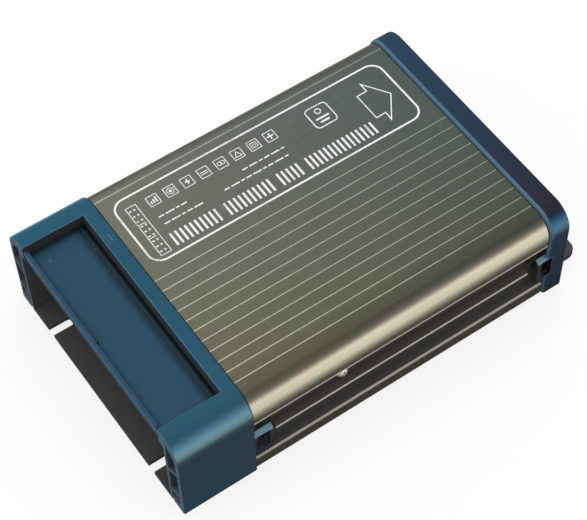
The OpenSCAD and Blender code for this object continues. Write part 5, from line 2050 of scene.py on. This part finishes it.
@dataclass(frozen=True)
class Lamp:
    """Soft lamp that looks at the object; a rim lamp shows in its reflections and lights nothing else."""

    name: str
    place: Point
    size: Span
    power: float
    rim: bool = False

    def hang(self, colour: Colour) -> None:
        """Hangs the lamp.

        Args:
            colour: Colour of a rim lamp.
        """
        clear_selection()
        bpy.ops.object.light_add(type="AREA", location=self.place)
        lamp = bpy.context.object
        lamp.name = self.name
        lamp.data.shape = "RECTANGLE"
        lamp.data.size, lamp.data.size_y = self.size
        lamp.data.energy = self.power
        lamp.rotation_euler = (-Vector(self.place)).to_track_quat("-Z", "Y").to_euler()
        lamp.visible_glossy = self.rim
        if self.rim:
            lamp.data.color = colour
            lamp.visible_diffuse = False


@dataclass
class Studio:
    """Pale floor, plain soft light and the camera at the photograph's angle."""

    floor_size: float = 8.0
    floor_gap: float = 0.0004
    floor_colour: Colour = (0.22, 0.22, 0.22)
    floor_glow: float = 0.78
    shine_near: Span = (-0.075, 0.15)
    shine_far: Span = (-0.19, 2.0)
    shine_colour: Colour = (0.86, 0.93, 1.0)
    lamps: tuple[Lamp, ...] = (
        Lamp("wide_lamp", (0.0, 0.0, 1.6), (2.2, 2.2), 10.0),
        Lamp("end_lamp", (-1.2, 0.1, 0.4), (0.8, 0.5), 3.0),
        Lamp("back_lamp", (0.9, 0.9, 0.45), (0.8, 0.5), 3.0),
        Lamp("edge_lamp", (0.41, -1.12, 0.27), (1.2, 0.54), 7.1, rim=True))
    sky_low: float = 0.1
    sky_high: float = 1.0
    sky_behind: float = 0.35
    camera_place: Point = (-0.2367, -0.3535, 0.6314)
    camera_forward: Point = (0.313, 0.459, -0.832)
    camera_right: Point = (0.8191, -0.5736, -0.0082)
    lens: float = 111.14
    shift: Span = (-0.0378, 0.0463)

    def build(self) -> None:
        """Sets up the floor, the light and the camera."""
        self.lay_floor()
        self.light_world()
        for lamp in self.lamps:
            lamp.hang(self.shine_colour)
        self.place_camera()

    def lay_floor(self) -> None:
        """Lays the pale floor, which keeps the object's shadow."""
        clear_selection()
        bpy.ops.mesh.primitive_plane_add(size=self.floor_size, location=(0, 0, -self.floor_gap))
        floor = bpy.context.object
        floor.name = "floor"
        graph = Graph("pale_floor")
        cloud = graph.noise(graph.place, 3.0, 2.0)
        low = tuple(0.985 * part for part in self.floor_colour)
        colour = graph.tint(cloud, self.floor_colour, low)
        path = graph.add("LightPath").outputs
        seen = graph.both(path["Is Camera Ray"], path["Is Transmission Ray"], "MAXIMUM")
        # For glossy rays only, the floor glows up to twice white on the object's -Y side: a light painted
        # into the floor, seen in the sides' reflections.
        (near, dim), (far, bright) = self.shine_near, self.shine_far
        spot = graph.add("SeparateXYZ", Vector=graph.place).outputs["Y"]
        shine = graph.both(path["Is Glossy Ray"], graph.levels(spot, far, near, bright, dim))
        glow = graph.both(graph.both(seen, self.floor_glow), shine, "MAXIMUM")
        tone = graph.tint(path["Is Glossy Ray"], (1.0, 1.0, 1.0), self.shine_colour)
        floor.data.materials.append(graph.dress(colour, 0.9, Specular_IOR_Level=0.1, Emission_Strength=glow,
                                                Emission_Color=tone))

    def light_world(self) -> None:
        """Lights the room from above and shows white behind the object."""
        world = bpy.data.worlds.new("studio")
        bpy.context.scene.world = world
        world.use_nodes = True
        room = Tree(world.node_tree)
        way = room.add("SeparateXYZ", Vector=room.add("TexCoord").outputs["Generated"]).outputs
        path = room.add("LightPath").outputs
        soft = room.levels(way["Z"], 0.0, 1.0, self.sky_low, self.sky_high)
        mirrored = room.both(room.levels(way["Y"], -0.45, 0.05, self.sky_behind, 1.0),
                             room.levels(way["Z"], 0.05, 0.5, self.sky_behind, 1.0))
        seen = room.both(path["Is Camera Ray"], path["Is Transmission Ray"], "MAXIMUM")
        strength = room.add("Mix", Factor=path["Is Glossy Ray"], A=soft, B=mirrored).outputs["Result"]
        strength = room.add("Mix", Factor=seen, A=strength, B=1.0).outputs["Result"]
        light = room.add("Background", Color=(1.0, 1.0, 1.0), Strength=strength)
        room.add("OutputWorld", Surface=light.outputs["Background"])

    def place_camera(self) -> None:
        """Places the camera where the photograph was taken from."""
        clear_selection()
        bpy.ops.object.camera_add(location=self.camera_place)
        camera = bpy.context.object
        camera.name = "camera"
        back = -Vector(self.camera_forward).normalized()
        right = Vector(self.camera_right)
        right = (right - right.dot(back) * back).normalized()
        camera.rotation_euler = Matrix((right, back.cross(right), back)).transposed().to_euler()
        camera.data.lens = self.lens
        camera.data.sensor_width = 36.0
        camera.data.sensor_fit = "HORIZONTAL"
        camera.data.shift_x, camera.data.shift_y = self.shift
        camera.data.clip_end = 50.0
        bpy.context.scene.camera = camera
        bpy.context.scene.view_settings.view_transform = "Standard"


def main() -> None:
    """Builds every sub-assembly, dresses the rest and sets up the studio."""
    logging.basicConfig(level=logging.INFO, format="%(message)s")
    clear_selection()
    book = FinishBook()
    at = Places()
    Studio().build()
    for maker in (Housing(book, at), TerminalCap(book, at), UpperCap(book, at), TerminalCover(book, at),
                  MountingPlate(book, at), SideScrews(book, at), TerminalBlock(book, at),
                  CrownPrint(book, at)):
        maker.build()
    Fittings(book).dress()


if __name__ == "__main__":
    main()
